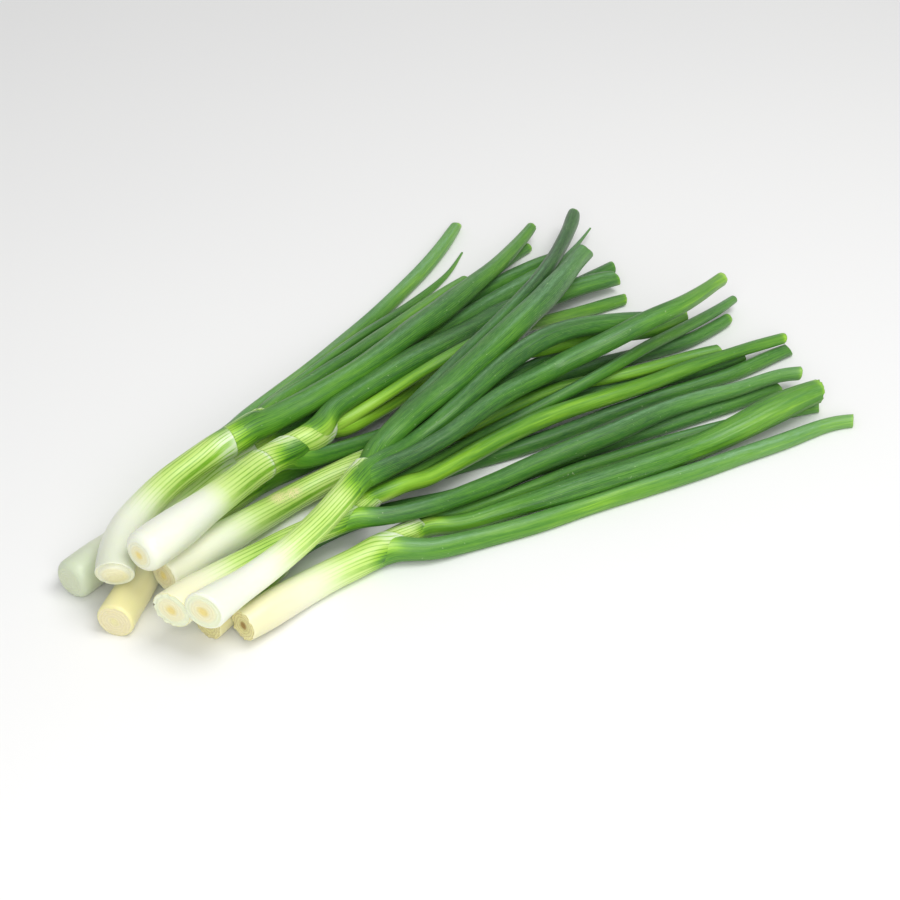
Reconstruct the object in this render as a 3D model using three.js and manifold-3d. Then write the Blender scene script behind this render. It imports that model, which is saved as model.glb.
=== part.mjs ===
// A loose bunch of nine spring onions lying on a flat surface, in millimetres, +Z up.
// Each onion is a pale stalk, cut off flat at its root, and a fan of hollow green leaves with cut tips.
// +X runs along the bunch from the roots to the leaf tips, and the origin is under its middle.

import * as THREE from 'three';
import Module from 'manifold-3d';

// The routes below are read as the bunch is seen from one point, each middle line laid on the surface.
const VIEW_DISTANCE = 1119;
const VIEW_ELEVATION = THREE.MathUtils.degToRad(38);

// How the routed floor is turned and shifted into the bunch's own frame.
const TURN = THREE.MathUtils.degToRad(-40);
const MIDDLE = new THREE.Vector2(-5.75, 17.66);

// How the onions lie on each other.
const STEP = 4;
const CLEARANCE = 0.6;
const SHAFT_BEND = 150;
const LEAF_BEND = 60;
const SETTLE_REACH = 3;
const SETTLE_SWEEPS = 60;
const SETTLED = 1e-4;
const SHARED_ROOT = 38;
const SETTLE_INTO_SURFACE = 0.5;

// Sections and ends.
const STALK_SIDES = 12;
const LEAF_SIDES = 8;
const STALK_TOLERANCE = 0.3;
const LEAF_TOLERANCE = 0.5;
const NODE_GAP = 0.3;
const ROOT_BEVEL = 0.9;
const LEAF_ROOT_SHARE = 0.86;
const LEAF_ROOT_DEPTH = 12;
const SHEATH_END_SHARE = 0.55;
const LEAF_WALL = 0.9;
const TIP_POCKET = 10;
const OPEN_TIP_RADIUS = 2.4;
const FINEST_TIP = 0.5;

const STALK_COLOUR = 0xeaf0d2;
const LEAF_COLOURS = [0x4f7f4a, 0x5c9a3c, 0x4c8a3a, 0x6aa044, 0x3f7a3c, 0x62a33c, 0x3f6f3a, 0x4d8f45, 0x76ab55];

// One entry for each onion. A point is x, y and radius. rank says what lies over what, the higher on top.
// split is the shaft point where the pale stalk ends, at is the shaft point that a leaf leaves from,
// turn is how far the root's cut is turned from square, in degrees, and rise is a least height at the root.
const ONIONS = [
  {
    rank: 0.9, split: 6, turn: 0, rise: 0,
    shaft: [
      [-169, -95, 9.5], [-158, -81, 9.3], [-147, -67, 8.2], [-134, -49, 7.2], [-121, -31, 6.6],
      [-109, -15, 6.4], [-99, -3, 6.2], [-92, 4, 6],
    ],
    leaves: [
      { rank: 1.7, at: 7, route: [
        [-78, 14, 4.6], [-60, 28, 4.2], [-40, 46, 4.2], [-20, 64, 4], [0, 82, 4], [20, 101, 4],
        [40, 119, 4], [55, 130, 4], [70, 143, 3.9], [80, 151, 3.8], [86, 156.5, 3.6],
      ] },
      { rank: 1.75, at: 7, route: [
        [-80, 22, 4], [-66, 40, 4], [-50, 60, 4], [-32, 84, 4], [-15, 106, 3.8], [0, 124, 3.6],
        [13, 141, 3.4], [25, 156, 3.2], [34, 168, 3.1], [41.5, 176, 2.9],
      ] },
      { rank: 1.8, at: 7, route: [
        [-77, 24, 4.4], [-60, 45, 4.4], [-42, 67, 4.4], [-25, 88, 4.4], [-8, 106, 4.5], [8, 124, 4.5],
        [22, 138, 4.4], [36, 150, 4.2], [48, 160, 3.8], [58, 167, 3],
      ] },
      { rank: 1.9, at: 7, route: [
        [-76, 20, 4.6], [-58, 38, 4.6], [-40, 58, 4.6], [-22, 79, 4.6], [-5, 97, 4.6], [10, 112, 4.7],
        [22, 124, 4.7], [33, 135, 4.5], [45, 147, 4.2], [57, 158, 3.6], [62, 163, 3],
      ] },
    ],
  },
  {
    rank: 4, split: 7, turn: 0, rise: 26,
    shaft: [
      [-149.5, -91, 8.6], [-150, -80, 8.6], [-149.5, -69, 8.3], [-146.5, -55, 7.8], [-140.5, -40.5, 7.2],
      [-131.5, -24.5, 6.9], [-121, -10.5, 6.8], [-112, 0, 6.9], [-104.5, 7.5, 7.1], [-97, 15.5, 7.1],
      [-91.5, 23, 6.4],
    ],
    leaves: [
      { rank: 4.1, at: 8, route: [
        [-99, 23, 4.8], [-93, 33, 4.2], [-86, 42.5, 4], [-76, 56, 3.9], [-66, 70, 3.9], [-56, 84.5, 3.9],
        [-45, 101, 3.9], [-35, 117, 3.9], [-24.7, 135, 3.8], [-14.6, 154, 3.7], [-5, 175, 3.5],
        [1.5, 192, 3.1], [3.3, 197.5, 2.8],
      ] },
      { rank: 4.2, at: 10, route: [
        [-84, 42, 3], [-74, 56, 2.5], [-64, 70, 2.5], [-54, 83, 2.5], [-42, 98, 2.4], [-30, 111, 2.3],
        [-18, 125, 2.2], [-8, 139, 1.8], [0, 153, 1.2], [6.5, 171, 0.5],
      ] },
      { rank: 4.3, at: 10, route: [
        [-81, 41, 3.8], [-70, 53.5, 3.4], [-60, 65, 3.4], [-50, 76, 3.4], [-40, 88, 3.4], [-30, 100, 3.4],
        [-20, 112, 3.4], [-10, 124, 3.3], [0, 136, 3], [9, 146, 2.6],
      ] },
      { rank: 4.6, at: 9, route: [
        [-88, 22, 6.4], [-79, 30, 5.9], [-70, 38, 5.7], [-60, 48.5, 5.5], [-50, 59.5, 5.4], [-40, 71, 5.4],
        [-30, 84, 5.7], [-20, 97.5, 6], [-10, 110, 6.3], [0.5, 124, 6.2], [12.5, 141, 5.2],
        [23, 156, 4.4], [34.5, 176, 3.6], [42, 191, 3], [44.3, 196.5, 2.7],
      ] },
    ],
  },
  {
    rank: 5, split: 6, turn: 0, rise: 0,
    shaft: [
      [-140, -77, 9.4], [-131, -66, 9.8], [-119, -51, 8.7], [-107.5, -36, 7.6], [-97.5, -22.5, 7.2],
      [-91, -14, 7.2], [-86, -8.5, 7.2], [-79, -2, 7.2], [-72, 4.5, 7], [-64.5, 11.5, 7], [-59, 17.5, 6.4],
    ],
    leaves: [
      { rank: 2, at: 7, route: [
        [-71, -6, 5.8], [-63, -5, 4.4], [-55, -1.5, 4.1], [-45, 3.5, 4], [-35, 9, 4], [-18, 19, 4],
        [5, 30, 4], [30, 44, 4.2], [55, 57.5, 4.4], [75, 68.5, 4.3], [92, 76, 4], [106, 82, 3.9],
        [118, 88, 3.8], [128, 95.5, 3.6], [136, 102.5, 3.5], [142, 108.5, 3.2],
      ] },
      { rank: 5.2, at: 9, route: [
        [-60.5, 23, 5.6], [-57, 32, 5], [-50, 40, 4.9], [-40, 51, 5.1], [-30, 61.5, 5.6], [-20, 71.5, 6],
        [-10, 81, 5.8], [0, 90, 5.6], [10, 98.7, 5.3], [20, 108.5, 5.2], [32, 118, 5.2], [50, 129, 5.1],
        [65, 137.5, 4.9], [77, 143, 4.6], [87, 147, 4],
      ] },
      { rank: 5.3, at: 10, route: [
        [-52.5, 17, 5], [-46, 21, 4.2], [-38, 28.5, 4], [-30, 36.5, 4], [-20, 47, 4], [-10, 57, 4],
        [3, 67.5, 4], [16, 74, 3.8], [32, 79, 3.6], [48, 83.5, 3.6], [62, 89, 3.6], [76, 93.5, 3.6],
        [90, 96, 3.5], [103, 99, 3.5], [112, 104, 3.5], [120.5, 110.5, 3.2],
      ] },
      { rank: 5.5, at: 10, route: [
        [-53, 21.5, 4], [-46, 28.5, 3.2], [-40, 34.5, 3], [-30, 45.5, 3], [-20, 56.5, 3], [-10, 67, 3],
        [0, 77, 3], [12, 88, 3], [28, 98, 3], [45, 105.5, 3.1], [60, 112, 3.2], [75, 119, 3.2],
        [85, 124, 3.2], [91, 127, 2.9],
      ] },
    ],
  },
  {
    rank: 3, split: 8, turn: 0, rise: 0,
    shaft: [
      [-127.5, -91, 8.2], [-117.5, -80.5, 8.4], [-107, -69.5, 8], [-96, -58.5, 7.4], [-85, -48, 6.8],
      [-74, -37.5, 6.4], [-63, -27.5, 6.2], [-52, -18.7, 6.1], [-42, -11, 6], [-33, -4.5, 5.6],
    ],
    leaves: [
      { rank: 3.05, at: 9, route: [
        [-22, 4, 4.4], [-7, 17, 4], [7, 31, 4], [18, 44, 4.2], [29, 56, 4.4], [42, 67, 4.2], [56, 77, 3.9],
        [69, 85, 3.7], [80, 91, 3.3],
      ] },
      { rank: 3.2, at: 9, route: [
        [-20, 1, 4.2], [-8, 6.5, 3.5], [4, 12.5, 3.1], [12, 17.5, 3], [20, 25, 3], [30, 33, 3],
        [42, 42, 3], [55, 50, 3], [68, 55, 3], [80, 58.5, 3], [92, 63, 3], [105, 69, 3], [118, 75, 2.9],
        [129, 79.5, 2.9], [136.5, 82.5, 2.7],
      ] },
    ],
  },
  {
    rank: 1, split: 7, turn: 0, rise: 0,
    shaft: [
      [-146, -121.5, 8.5], [-142.5, -109, 8.3], [-138.5, -97, 8], [-134.5, -84.5, 7.2], [-127, -71, 6.6],
      [-117.5, -58, 6.2], [-107, -45, 6], [-97, -33, 5.6], [-88, -24, 5.2],
    ],
    leaves: [
      { rank: 1.4, at: 8, route: [
        [-72, -14, 4.2], [-60, -5.5, 4], [-46, 1, 4], [-30, 7, 4], [-12, 13, 4], [8, 20, 4], [28, 28, 4],
        [46, 35, 4], [62, 41.5, 4], [78, 47, 4], [94, 52.5, 4], [110, 58.5, 4], [124, 64.5, 3.9],
        [138, 71.5, 3.8], [148, 77, 3.5],
      ] },
    ],
  },
  {
    rank: 6, split: 7, turn: 15, rise: 0,
    shaft: [
      [-122, -114, 9], [-113.5, -104, 8.4], [-105, -96, 7.8], [-96, -87, 6.9], [-87, -79, 6.4],
      [-77, -70.5, 6.2], [-66, -62.5, 6.2], [-56, -56, 6.2], [-48, -50, 6], [-41, -42, 5], [-35.5, -35.5, 4.5],
    ],
    leaves: [
      { rank: 6.1, at: 8, route: [
        [-39, -50, 4.8], [-30, -49.5, 4.2], [-20, -46.5, 4.2], [-10, -42.5, 4.3], [0, -37.5, 4.3],
        [20, -25.5, 4.7], [40, -11, 4.6], [60, 2, 4.8], [80, 14.5, 4.8], [100, 28.5, 4.3],
        [120, 39.7, 3.9], [140, 48, 3.5], [155, 56, 3.1], [166, 61, 3.2], [174, 62, 3.3],
      ] },
      { rank: 6.3, at: 10, route: [
        [-30, -29, 3.6], [-20, -20.5, 3.2], [-10, -11.5, 3.1], [0, -2.5, 3.1], [10, 6.5, 3.1],
        [20, 15, 3.1], [40, 31, 3.2], [60, 48, 3.2], [75, 61.5, 3.2], [88, 74, 3.2], [102, 87, 3.2],
        [115, 97.5, 3.1], [130, 110, 3], [140, 119.3, 2.7], [147, 127, 2.2],
      ] },
      { rank: 6.5, at: 10, route: [
        [-28.5, -32.5, 4.2], [-20, -27.5, 4.1], [-10, -20.7, 4.3], [0, -12.2, 4.5], [10, -3.5, 4.7],
        [20, 5.3, 4.7], [40, 21.3, 4.9], [60, 33.5, 4.6], [80, 43.7, 4.3], [100, 54.5, 4.1],
        [120, 67.2, 3.8], [140, 78, 3], [155, 85.5, 3], [169, 92, 2.8],
      ] },
    ],
  },
  {
    rank: 1.2, split: 3, turn: 0, rise: 0,
    shaft: [
      [-105.5, -123, 7.6], [-97.5, -113, 7], [-89.5, -102.5, 6.4], [-82, -92, 5.8], [-75.5, -82, 5.2],
    ],
    leaves: [
      { rank: 1.6, at: 4, route: [
        [-67, -71, 4.2], [-54, -60, 3.9], [-38, -50, 3.8], [-20, -43, 3.8], [0, -36.5, 3.8],
        [20, -26.5, 3.8], [40, -14.5, 3.8], [60, -3.5, 3.8], [80, 7, 3.8], [100, 17, 3.8],
        [120, 27, 3.7], [140, 37.5, 3.6], [153, 45.5, 3.5], [162, 51, 3.3],
      ] },
      { rank: 2.2, at: 4, route: [
        [-69, -69, 4.4], [-59, -56, 4], [-47, -43, 4], [-33, -32, 4], [-18, -23, 4], [-5, -16.5, 3.9],
        [8, -10, 3.9], [22, -3.7, 3.9], [40, 5, 3.9], [60, 16.5, 3.9], [80, 29.5, 3.7], [100, 41, 3.4],
        [120, 51, 3.4], [138, 60, 3.6], [150, 68, 3.7], [161, 76, 3.6], [171, 82.5, 3.3],
      ] },
    ],
  },
  {
    rank: 7, split: 8, turn: 15, rise: 0,
    shaft: [
      [-108, -115, 9.2], [-100, -106, 8], [-92, -97.5, 7], [-84, -88.5, 6.6], [-75, -77, 6.3],
      [-67, -65.5, 6.2], [-60, -54.5, 6.1], [-54, -43.5, 6.1], [-48.5, -33, 6.2], [-43.5, -23, 6.4],
      [-39, -14, 6.2],
    ],
    leaves: [
      { rank: 7.1, at: 10, route: [
        [-34, 4, 3.2], [-21, 26, 2.6], [-9, 45, 2.4], [4, 65, 2.4], [16, 86, 2.3], [28, 107, 2.3],
        [40, 129, 2.2], [50, 146.5, 2.1], [60, 163.5, 1.8], [68, 178, 1.1], [76, 195, 0.5],
      ] },
      { rank: 7.2, at: 10, route: [
        [-37, 0, 3.8], [-29, 17, 3.1], [-20.5, 32.5, 3], [-12.5, 46, 3], [-3.5, 61, 3], [5.5, 76, 3],
        [15, 91.5, 3], [25, 107.5, 3.1], [35, 125, 3.2], [45, 143, 3.3], [53.5, 162, 3.4],
        [59.5, 178, 3.4], [64, 193, 3.5], [67, 205, 3.6], [67.8, 209.5, 3.1],
      ] },
      { rank: 7.4, at: 10, route: [
        [-36.5, -4, 5.4], [-33, 5, 5.2], [-26.5, 15.5, 5.3], [-18, 28.5, 5.5], [-9, 40.5, 5.6],
        [0, 52, 5.7], [10, 67.5, 5.8], [20, 82.5, 5.8], [31, 100, 5.8], [40, 114, 5.7], [48, 127, 5.6],
        [56, 141, 5.1], [62, 153, 4.5], [67.5, 164, 4.2], [72.5, 173, 4],
      ] },
      { rank: 7.8, at: 9, route: [
        [-36, -18, 5.4], [-28, -12, 4.7], [-19, -5.5, 4.4], [-9, 3.5, 4.4], [0, 12.5, 4.5], [10, 25, 4.6],
        [20, 37.3, 4.8], [30, 47.5, 4.9], [40, 56, 4.9], [50, 64.5, 5], [60, 73.3, 5], [80, 89.5, 5],
        [100, 106.5, 4.9], [110, 114.3, 4.6], [120, 122, 4.2], [130, 131.8, 3.7], [137, 139.5, 3.3],
        [142.5, 145.5, 3.4],
      ] },
      { rank: 7.6, at: 9, route: [
        [-34, -10, 5.6], [-23, 0, 4.9], [-11, 14, 4.6], [0, 29, 4.5], [10, 44, 4.6], [20, 59.5, 4.8],
        [30, 73, 4.9], [40, 84.5, 4.9], [50, 93.5, 4.9], [60, 99.5, 4.8], [72, 103.5, 4.7],
        [85, 106, 4.6], [97, 107.5, 4.4], [107, 108.5, 4],
      ] },
    ],
  },
  {
    rank: 5, split: 5, turn: 0, rise: 0,
    shaft: [
      [-90, -124, 7.4], [-81, -115.5, 8], [-72, -107, 7.8], [-62, -98, 7.4], [-51, -89, 7],
      [-40, -80.5, 7], [-31, -72.5, 7.2], [-22, -64, 6], [-14, -57, 4.9],
    ],
    leaves: [
      { rank: 5.1, at: 6, route: [
        [-21, -72.5, 5.4], [-10, -73, 4.6], [1, -70, 4.4], [11, -66.5, 4.1], [21, -62.5, 4],
        [40, -54.3, 4], [60, -43.5, 4], [80, -33.5, 4], [100, -24, 3.9], [120, -14.5, 3.6],
        [140, -3.5, 3.5], [160, 7, 3.4], [180, 18.5, 3], [190, 22.3, 2.8], [195.5, 23, 2.7],
      ] },
      { rank: 5.3, at: 8, route: [
        [-4, -51, 3.4], [8, -45.5, 3.1], [20, -38.5, 3.1], [40, -27.3, 3.2], [60, -15, 3.2], [80, -5, 3.2],
        [100, 4.5, 3.2], [120, 13.5, 3.2], [140, 21.5, 3.2], [160, 28.5, 3.2], [172, 32.3, 3.1],
        [180.5, 34.5, 2.9],
      ] },
      { rank: 5.6, at: 8, route: [
        [-5, -56, 4.2], [6, -54.5, 3.9], [20, -47.8, 4], [40, -38.3, 4.5], [60, -28, 4.9], [80, -18, 5],
        [100, -8, 5.2], [120, 3.5, 5.5], [135, 14, 6], [150, 26, 6.4], [162, 35, 6.4], [172, 42, 5.8],
        [181, 47, 5.2],
      ] },
    ],
  },
];

// Onions that pass each other without touching, by their place in the list.
const CLEAR_OF_EACH_OTHER = [[1, 4]];

const wasm = await Module();
wasm.setup();

// Evenly spaced points on a smooth curve through a route, with the radius as the third coordinate.
function smoothRoute(points) {
  const corners = points.map((point) => new THREE.Vector3(...point));
  const curve = new THREE.CatmullRomCurve3(corners, false, 'catmullrom', 0.5);
  return curve.getSpacedPoints(Math.max(2, Math.round(curve.getLength() / STEP)));
}

function nearest(points, [x, y]) {
  const distances = points.map((point) => Math.hypot(point.x - x, point.y - y));
  return distances.indexOf(Math.min(...distances));
}

// Every stem and leaf as a chain of samples. A leaf's chain starts with the stem that it grows from.
function sampleBunch() {
  const eye = new THREE.Vector3(0, -Math.cos(VIEW_ELEVATION), Math.sin(VIEW_ELEVATION));
  eye.multiplyScalar(VIEW_DISTANCE);
  const samples = [];
  const chains = [];
  ONIONS.forEach((onion, owner) => {
    const addSample = (point, rank, leaf, run, least) => {
      const floor = new THREE.Vector3(point.x, point.y, 0);
      const sight = eye.clone().sub(floor).normalize();
      const lowest = Math.max(point.z, least) / sight.z;
      samples.push({ floor, sight, radius: point.z, lowest, rank, owner, leaf, run });
      return samples.length - 1;
    };
    const shaftPoints = smoothRoute(onion.shaft);
    const rising = shaftPoints.length / 4;
    const shaft = shaftPoints.map((point, i) => (
      addSample(point, onion.rank, -1, 0, i < rising ? onion.rise : 0)
    ));
    chains.push({ owner, leaf: -1, ids: shaft, joint: 0 });
    onion.leaves.forEach((leaf, number) => {
      const root = onion.shaft[leaf.at];
      const joint = nearest(shaftPoints, root);
      const whole = smoothRoute([onion.shaft[leaf.at - 1], root, ...leaf.route]);
      const own = whole.slice(nearest(whole, root) + 1).map((point, i) => (
        addSample(point, leaf.rank, number, (i + 1) * STEP, 0)
      ));
      chains.push({ owner, leaf: number, ids: [...shaft.slice(0, joint + 1), ...own], joint });
    });
  });
  return { samples, chains };
}

function mayTouch(a, b) {
  if (b.rank >= a.rank) return false;
  if (a.owner === b.owner) return a.leaf !== b.leaf && Math.min(a.run, b.run) >= SHARED_ROOT;
  return !CLEAR_OF_EACH_OTHER.some((pair) => pair.includes(a.owner) && pair.includes(b.owner));
}

// Where one sample covers another in the view, and how much nearer to the eye it has to lie.
function contacts(samples) {
  const found = [];
  const offset = new THREE.Vector3();
  samples.forEach((a, upper) => {
    samples.forEach((b, lower) => {
      if (!mayTouch(a, b)) return;
      offset.subVectors(a.floor, b.floor);
      const along = offset.dot(a.sight);
      const across = Math.sqrt(Math.max(0, offset.lengthSq() - along * along));
      const apart = a.radius + b.radius + CLEARANCE;
      if (across < apart) {
        found.push({ upper, lower, need: Math.sqrt(apart * apart - across * across) - along });
      }
    });
  });
  return found;
}

// Bends a chain over what holds it up: it falls away as its stiffness allows and bridges short hollows.
function bendChain(chain, samples, bound, next) {
  const { ids } = chain;
  const stiffness = ids.map((id) => 1 / (2 * (samples[id].leaf < 0 ? SHAFT_BEND : LEAF_BEND)));
  const humps = ids.map((_, i) => Math.max(...ids.map((other, j) => (
    bound[other] - ((i - j) * STEP) ** 2 * Math.min(stiffness[i], stiffness[j])
  ))));
  ids.forEach((id, i) => {
    let sum = 0;
    for (let j = i - SETTLE_REACH; j <= i + SETTLE_REACH; j += 1) {
      sum += humps[THREE.MathUtils.clamp(j, 0, ids.length - 1)];
    }
    next[id] = Math.max(next[id], humps[i], sum / (2 * SETTLE_REACH + 1));
  });
}

// Lays every sample on the surface or on what lies under it, by moving it along its line of sight.
function layBunch() {
  const { samples, chains } = sampleBunch();
  const touching = contacts(samples);
  let nearness = samples.map((sample) => sample.lowest);
  for (let sweep = 0; sweep < SETTLE_SWEEPS; sweep += 1) {
    const bound = samples.map((sample) => sample.lowest);
    touching.forEach(({ upper, lower, need }) => {
      bound[upper] = Math.max(bound[upper], nearness[lower] + need);
    });
    const next = bound.slice();
    chains.forEach((chain) => bendChain(chain, samples, bound, next));
    const moved = Math.max(...next.map((value, i) => Math.abs(value - nearness[i])));
    nearness = next;
    if (moved < SETTLED) break;
  }
  const up = new THREE.Vector3(0, 0, 1);
  samples.forEach((sample, i) => {
    const place = sample.floor.clone().addScaledVector(sample.sight, nearness[i]);
    place.applyAxisAngle(up, TURN);
    place.x -= MIDDLE.x;
    place.y -= MIDDLE.y;
    place.z -= SETTLE_INTO_SURFACE;
    sample.place = place;
  });
  return { samples, chains };
}

// The stations of a path that a straight-sided tube needs to stay within a tolerance of it.
function keyStations(path, tolerance) {
  const keep = new Set([0, path.length - 1]);
  const splitSpan = (first, last) => {
    let worst = tolerance;
    let split = -1;
    for (let i = first + 1; i < last; i += 1) {
      const share = (i - first) / (last - first);
      const straight = path[first].place.clone().lerp(path[last].place, share);
      const radius = THREE.MathUtils.lerp(path[first].radius, path[last].radius, share);
      const miss = straight.distanceTo(path[i].place) + Math.abs(radius - path[i].radius);
      if (miss > worst) {
        worst = miss;
        split = i;
      }
    }
    if (split < 0) return;
    keep.add(split);
    splitSpan(first, split);
    splitSpan(split, last);
  };
  splitSpan(0, path.length - 1);
  return [...keep].sort((a, b) => a - b);
}

// The direction of a path at a station.
function headingAt(path, i) {
  const before = path[Math.max(0, i - 1)].place;
  const after = path[Math.min(path.length - 1, i + 1)].place;
  return after.clone().sub(before).normalize();
}

// A ring of points round a station, with one flat side down and nothing below the surface.
function ring(centre, heading, radius, sides, turn = 0) {
  const side = new THREE.Vector3().crossVectors(heading, new THREE.Vector3(0, 0, 1)).normalize();
  const rise = new THREE.Vector3().crossVectors(side, heading).normalize();
  const lean = Math.tan(THREE.MathUtils.degToRad(turn));
  return Array.from({ length: sides }, (_, k) => {
    const angle = ((k + 0.5) / sides) * 2 * Math.PI - Math.PI / 2;
    const point = centre.clone();
    point.addScaledVector(side, radius * Math.cos(angle));
    point.addScaledVector(rise, radius * Math.sin(angle));
    point.addScaledVector(heading, radius * Math.cos(angle) * lean);
    point.z = Math.max(0, point.z);
    return point;
  });
}

// A closed surface through rings of equal size, with a fan over each end.
function loft(rings) {
  const sides = rings[0].length;
  const points = rings.flat();
  const middle = (loop) => {
    const centre = new THREE.Vector3();
    loop.forEach((point) => centre.addScaledVector(point, 1 / sides));
    return centre;
  };
  const start = points.push(middle(rings[0])) - 1;
  const end = points.push(middle(rings[rings.length - 1])) - 1;
  const lastRing = (rings.length - 1) * sides;
  const faces = [];
  for (let k = 0; k < sides; k += 1) {
    const next = (k + 1) % sides;
    faces.push([start, k, next]);
    faces.push([end, lastRing + next, lastRing + k]);
    for (let base = 0; base < lastRing; base += sides) {
      faces.push([base + k, base + sides + k, base + next]);
      faces.push([base + next, base + sides + k, base + sides + next]);
    }
  }
  const geometry = new THREE.BufferGeometry();
  geometry.setAttribute('position', new THREE.Float32BufferAttribute(points.flatMap((p) => p.toArray()), 3));
  geometry.setIndex(faces.flat());
  return geometry;
}

function toSolid(geometry) {
  return new wasm.Manifold(new wasm.Mesh({
    numProp: 3,
    vertProperties: new Float32Array(geometry.getAttribute('position').array),
    triVerts: new Uint32Array(geometry.getIndex().array),
  }));
}

function toGeometry(solid) {
  const { vertProperties, triVerts } = solid.getMesh();
  const geometry = new THREE.BufferGeometry();
  geometry.setAttribute('position', new THREE.BufferAttribute(new Float32Array(vertProperties), 3));
  geometry.setIndex(new THREE.BufferAttribute(new Uint32Array(triVerts), 1));
  return geometry;
}

// The pale stalk: a flat cut with a small bevel at the root, then a round shaft up to the split.
function stalkGeometry(onion, shaft, split) {
  const path = shaft.slice(0, split + 1);
  const heading = headingAt(path, 0);
  const { place, radius } = path[0];
  const cut = ring(place, heading, radius - ROOT_BEVEL, STALK_SIDES, onion.turn);
  const shoulder = place.clone().addScaledVector(heading, ROOT_BEVEL);
  const rings = [cut, ring(shoulder, heading, radius, STALK_SIDES, onion.turn)];
  const stations = keyStations(path, STALK_TOLERANCE).slice(1);
  stations.forEach((i) => {
    const direction = headingAt(shaft, i);
    const centre = path[i].place.clone();
    if (i === split) centre.addScaledVector(direction, -NODE_GAP / 2);
    rings.push(ring(centre, direction, path[i].radius, STALK_SIDES));
  });
  return loft(rings);
}

// The sheath that the leaves grow out of, from the split up to where the last leaf leaves it.
function sheathGeometry(shaft, split) {
  const path = shaft.slice(split);
  const rings = keyStations(path, STALK_TOLERANCE).map((i) => {
    const direction = headingAt(shaft, split + i);
    const centre = path[i].place.clone();
    if (i === 0) centre.addScaledVector(direction, NODE_GAP / 2);
    return ring(centre, direction, path[i].radius, STALK_SIDES);
  });
  const last = path[path.length - 1];
  const direction = headingAt(path, path.length - 1);
  const cap = last.place.clone().addScaledVector(direction, last.radius * SHEATH_END_SHARE);
  rings.push(ring(cap, direction, last.radius * SHEATH_END_SHARE, STALK_SIDES));
  return loft(rings);
}

// One leaf: rooted inside the sheath, round along its length, and cut off open or drawn to a point.
function leafGeometry(path) {
  const rings = keyStations(path, LEAF_TOLERANCE).map((i) => (
    ring(path[i].place, headingAt(path, i), path[i].radius, LEAF_SIDES)
  ));
  const last = path[path.length - 1];
  if (last.radius >= OPEN_TIP_RADIUS) {
    const direction = headingAt(path, path.length - 1);
    const bore = last.radius - LEAF_WALL;
    const floor = last.place.clone().addScaledVector(direction, -TIP_POCKET);
    rings.push(ring(last.place, direction, bore, LEAF_SIDES));
    rings.push(ring(floor, direction, bore * SHEATH_END_SHARE, LEAF_SIDES));
  }
  return loft(rings);
}

// The samples of a leaf from where it is rooted in the sheath, slimmer there than the sheath.
function leafPath(chain, samples, split) {
  const rooted = Math.max(split + 1, chain.joint - Math.round(LEAF_ROOT_DEPTH / STEP));
  return chain.ids.slice(rooted).map((id) => {
    const { place, radius, run } = samples[id];
    const share = Math.min(1, LEAF_ROOT_SHARE + (1 - LEAF_ROOT_SHARE) * (run / LEAF_ROOT_DEPTH));
    return { place, radius: Math.max(FINEST_TIP, radius * share) };
  });
}

// The body with the most material, without the hollows that fusing seals.
function mainBody(solid) {
  const bodies = solid.decompose();
  return bodies.reduce((best, body) => (body.volume() > best.volume() ? body : best));
}

function namedMesh(name, geometry, colour) {
  geometry.computeVertexNormals();
  const material = new THREE.MeshStandardMaterial({ color: colour, roughness: 0.5, metalness: 0 });
  const mesh = new THREE.Mesh(geometry, material);
  mesh.name = name;
  return mesh;
}

function springOnions() {
  const { samples, chains } = layBunch();
  const bunch = new THREE.Group();
  bunch.name = 'spring_onion_bunch';
  ONIONS.forEach((onion, number) => {
    const own = chains.filter((chain) => chain.owner === number);
    const shaft = own[0].ids.map((id) => samples[id]);
    const split = nearest(shaft.map((sample) => sample.floor), onion.shaft[onion.split]);
    const name = `onion_${number + 1}`;
    bunch.add(namedMesh(`${name}_stalk`, stalkGeometry(onion, shaft, split), STALK_COLOUR));
    const sheath = toSolid(sheathGeometry(shaft, split));
    const fan = own.slice(1).reduce((joined, chain) => (
      joined.add(toSolid(leafGeometry(leafPath(chain, samples, split))))
    ), sheath);
    bunch.add(namedMesh(`${name}_leaves`, toGeometry(mainBody(fan)), LEAF_COLOURS[number]));
  });
  return bunch;
}

export default springOnions();
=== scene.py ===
"""A loose bunch of nine spring onions lying on a plain pale floor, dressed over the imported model.

Lengths are in millimetres while the bunch is laid out, and in metres once a piece is made.
"""

import math

import bpy
import numpy as np
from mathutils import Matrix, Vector


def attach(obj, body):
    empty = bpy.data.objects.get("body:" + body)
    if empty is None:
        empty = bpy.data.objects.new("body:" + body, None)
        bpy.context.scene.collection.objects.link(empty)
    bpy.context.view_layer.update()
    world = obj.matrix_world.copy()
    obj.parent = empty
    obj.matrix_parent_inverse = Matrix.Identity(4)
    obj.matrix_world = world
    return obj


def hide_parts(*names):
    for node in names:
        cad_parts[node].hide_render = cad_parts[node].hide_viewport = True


MM = 0.001

# The routes are read as the bunch is seen from one point, each middle line laid on the surface.
VIEW_DISTANCE = 1119.0
VIEW_ELEVATION = math.radians(38)
VIEW_LENS = 94.0
SENSOR = 36.0

# How the routed floor is turned and shifted into the bunch's own frame.
TURN = math.radians(-40)
MIDDLE = (-5.75, 17.66)

# How the onions lie on each other.
STEP = 4.0
CLEARANCE = 0.6
SHAFT_BEND = 150.0
LEAF_BEND = 60.0
SETTLE_REACH = 3
SETTLE_SWEEPS = 60
SETTLED = 1e-4
SHARED_ROOT = 38.0
SETTLE_INTO_SURFACE = 0.5
CURVE_DIVISIONS = 200

# Fineness of the skins.
STALK_SIDES = 72
LEAF_SIDES = 40
STALK_RING = 1.3
LEAF_RING = 2.4

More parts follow.
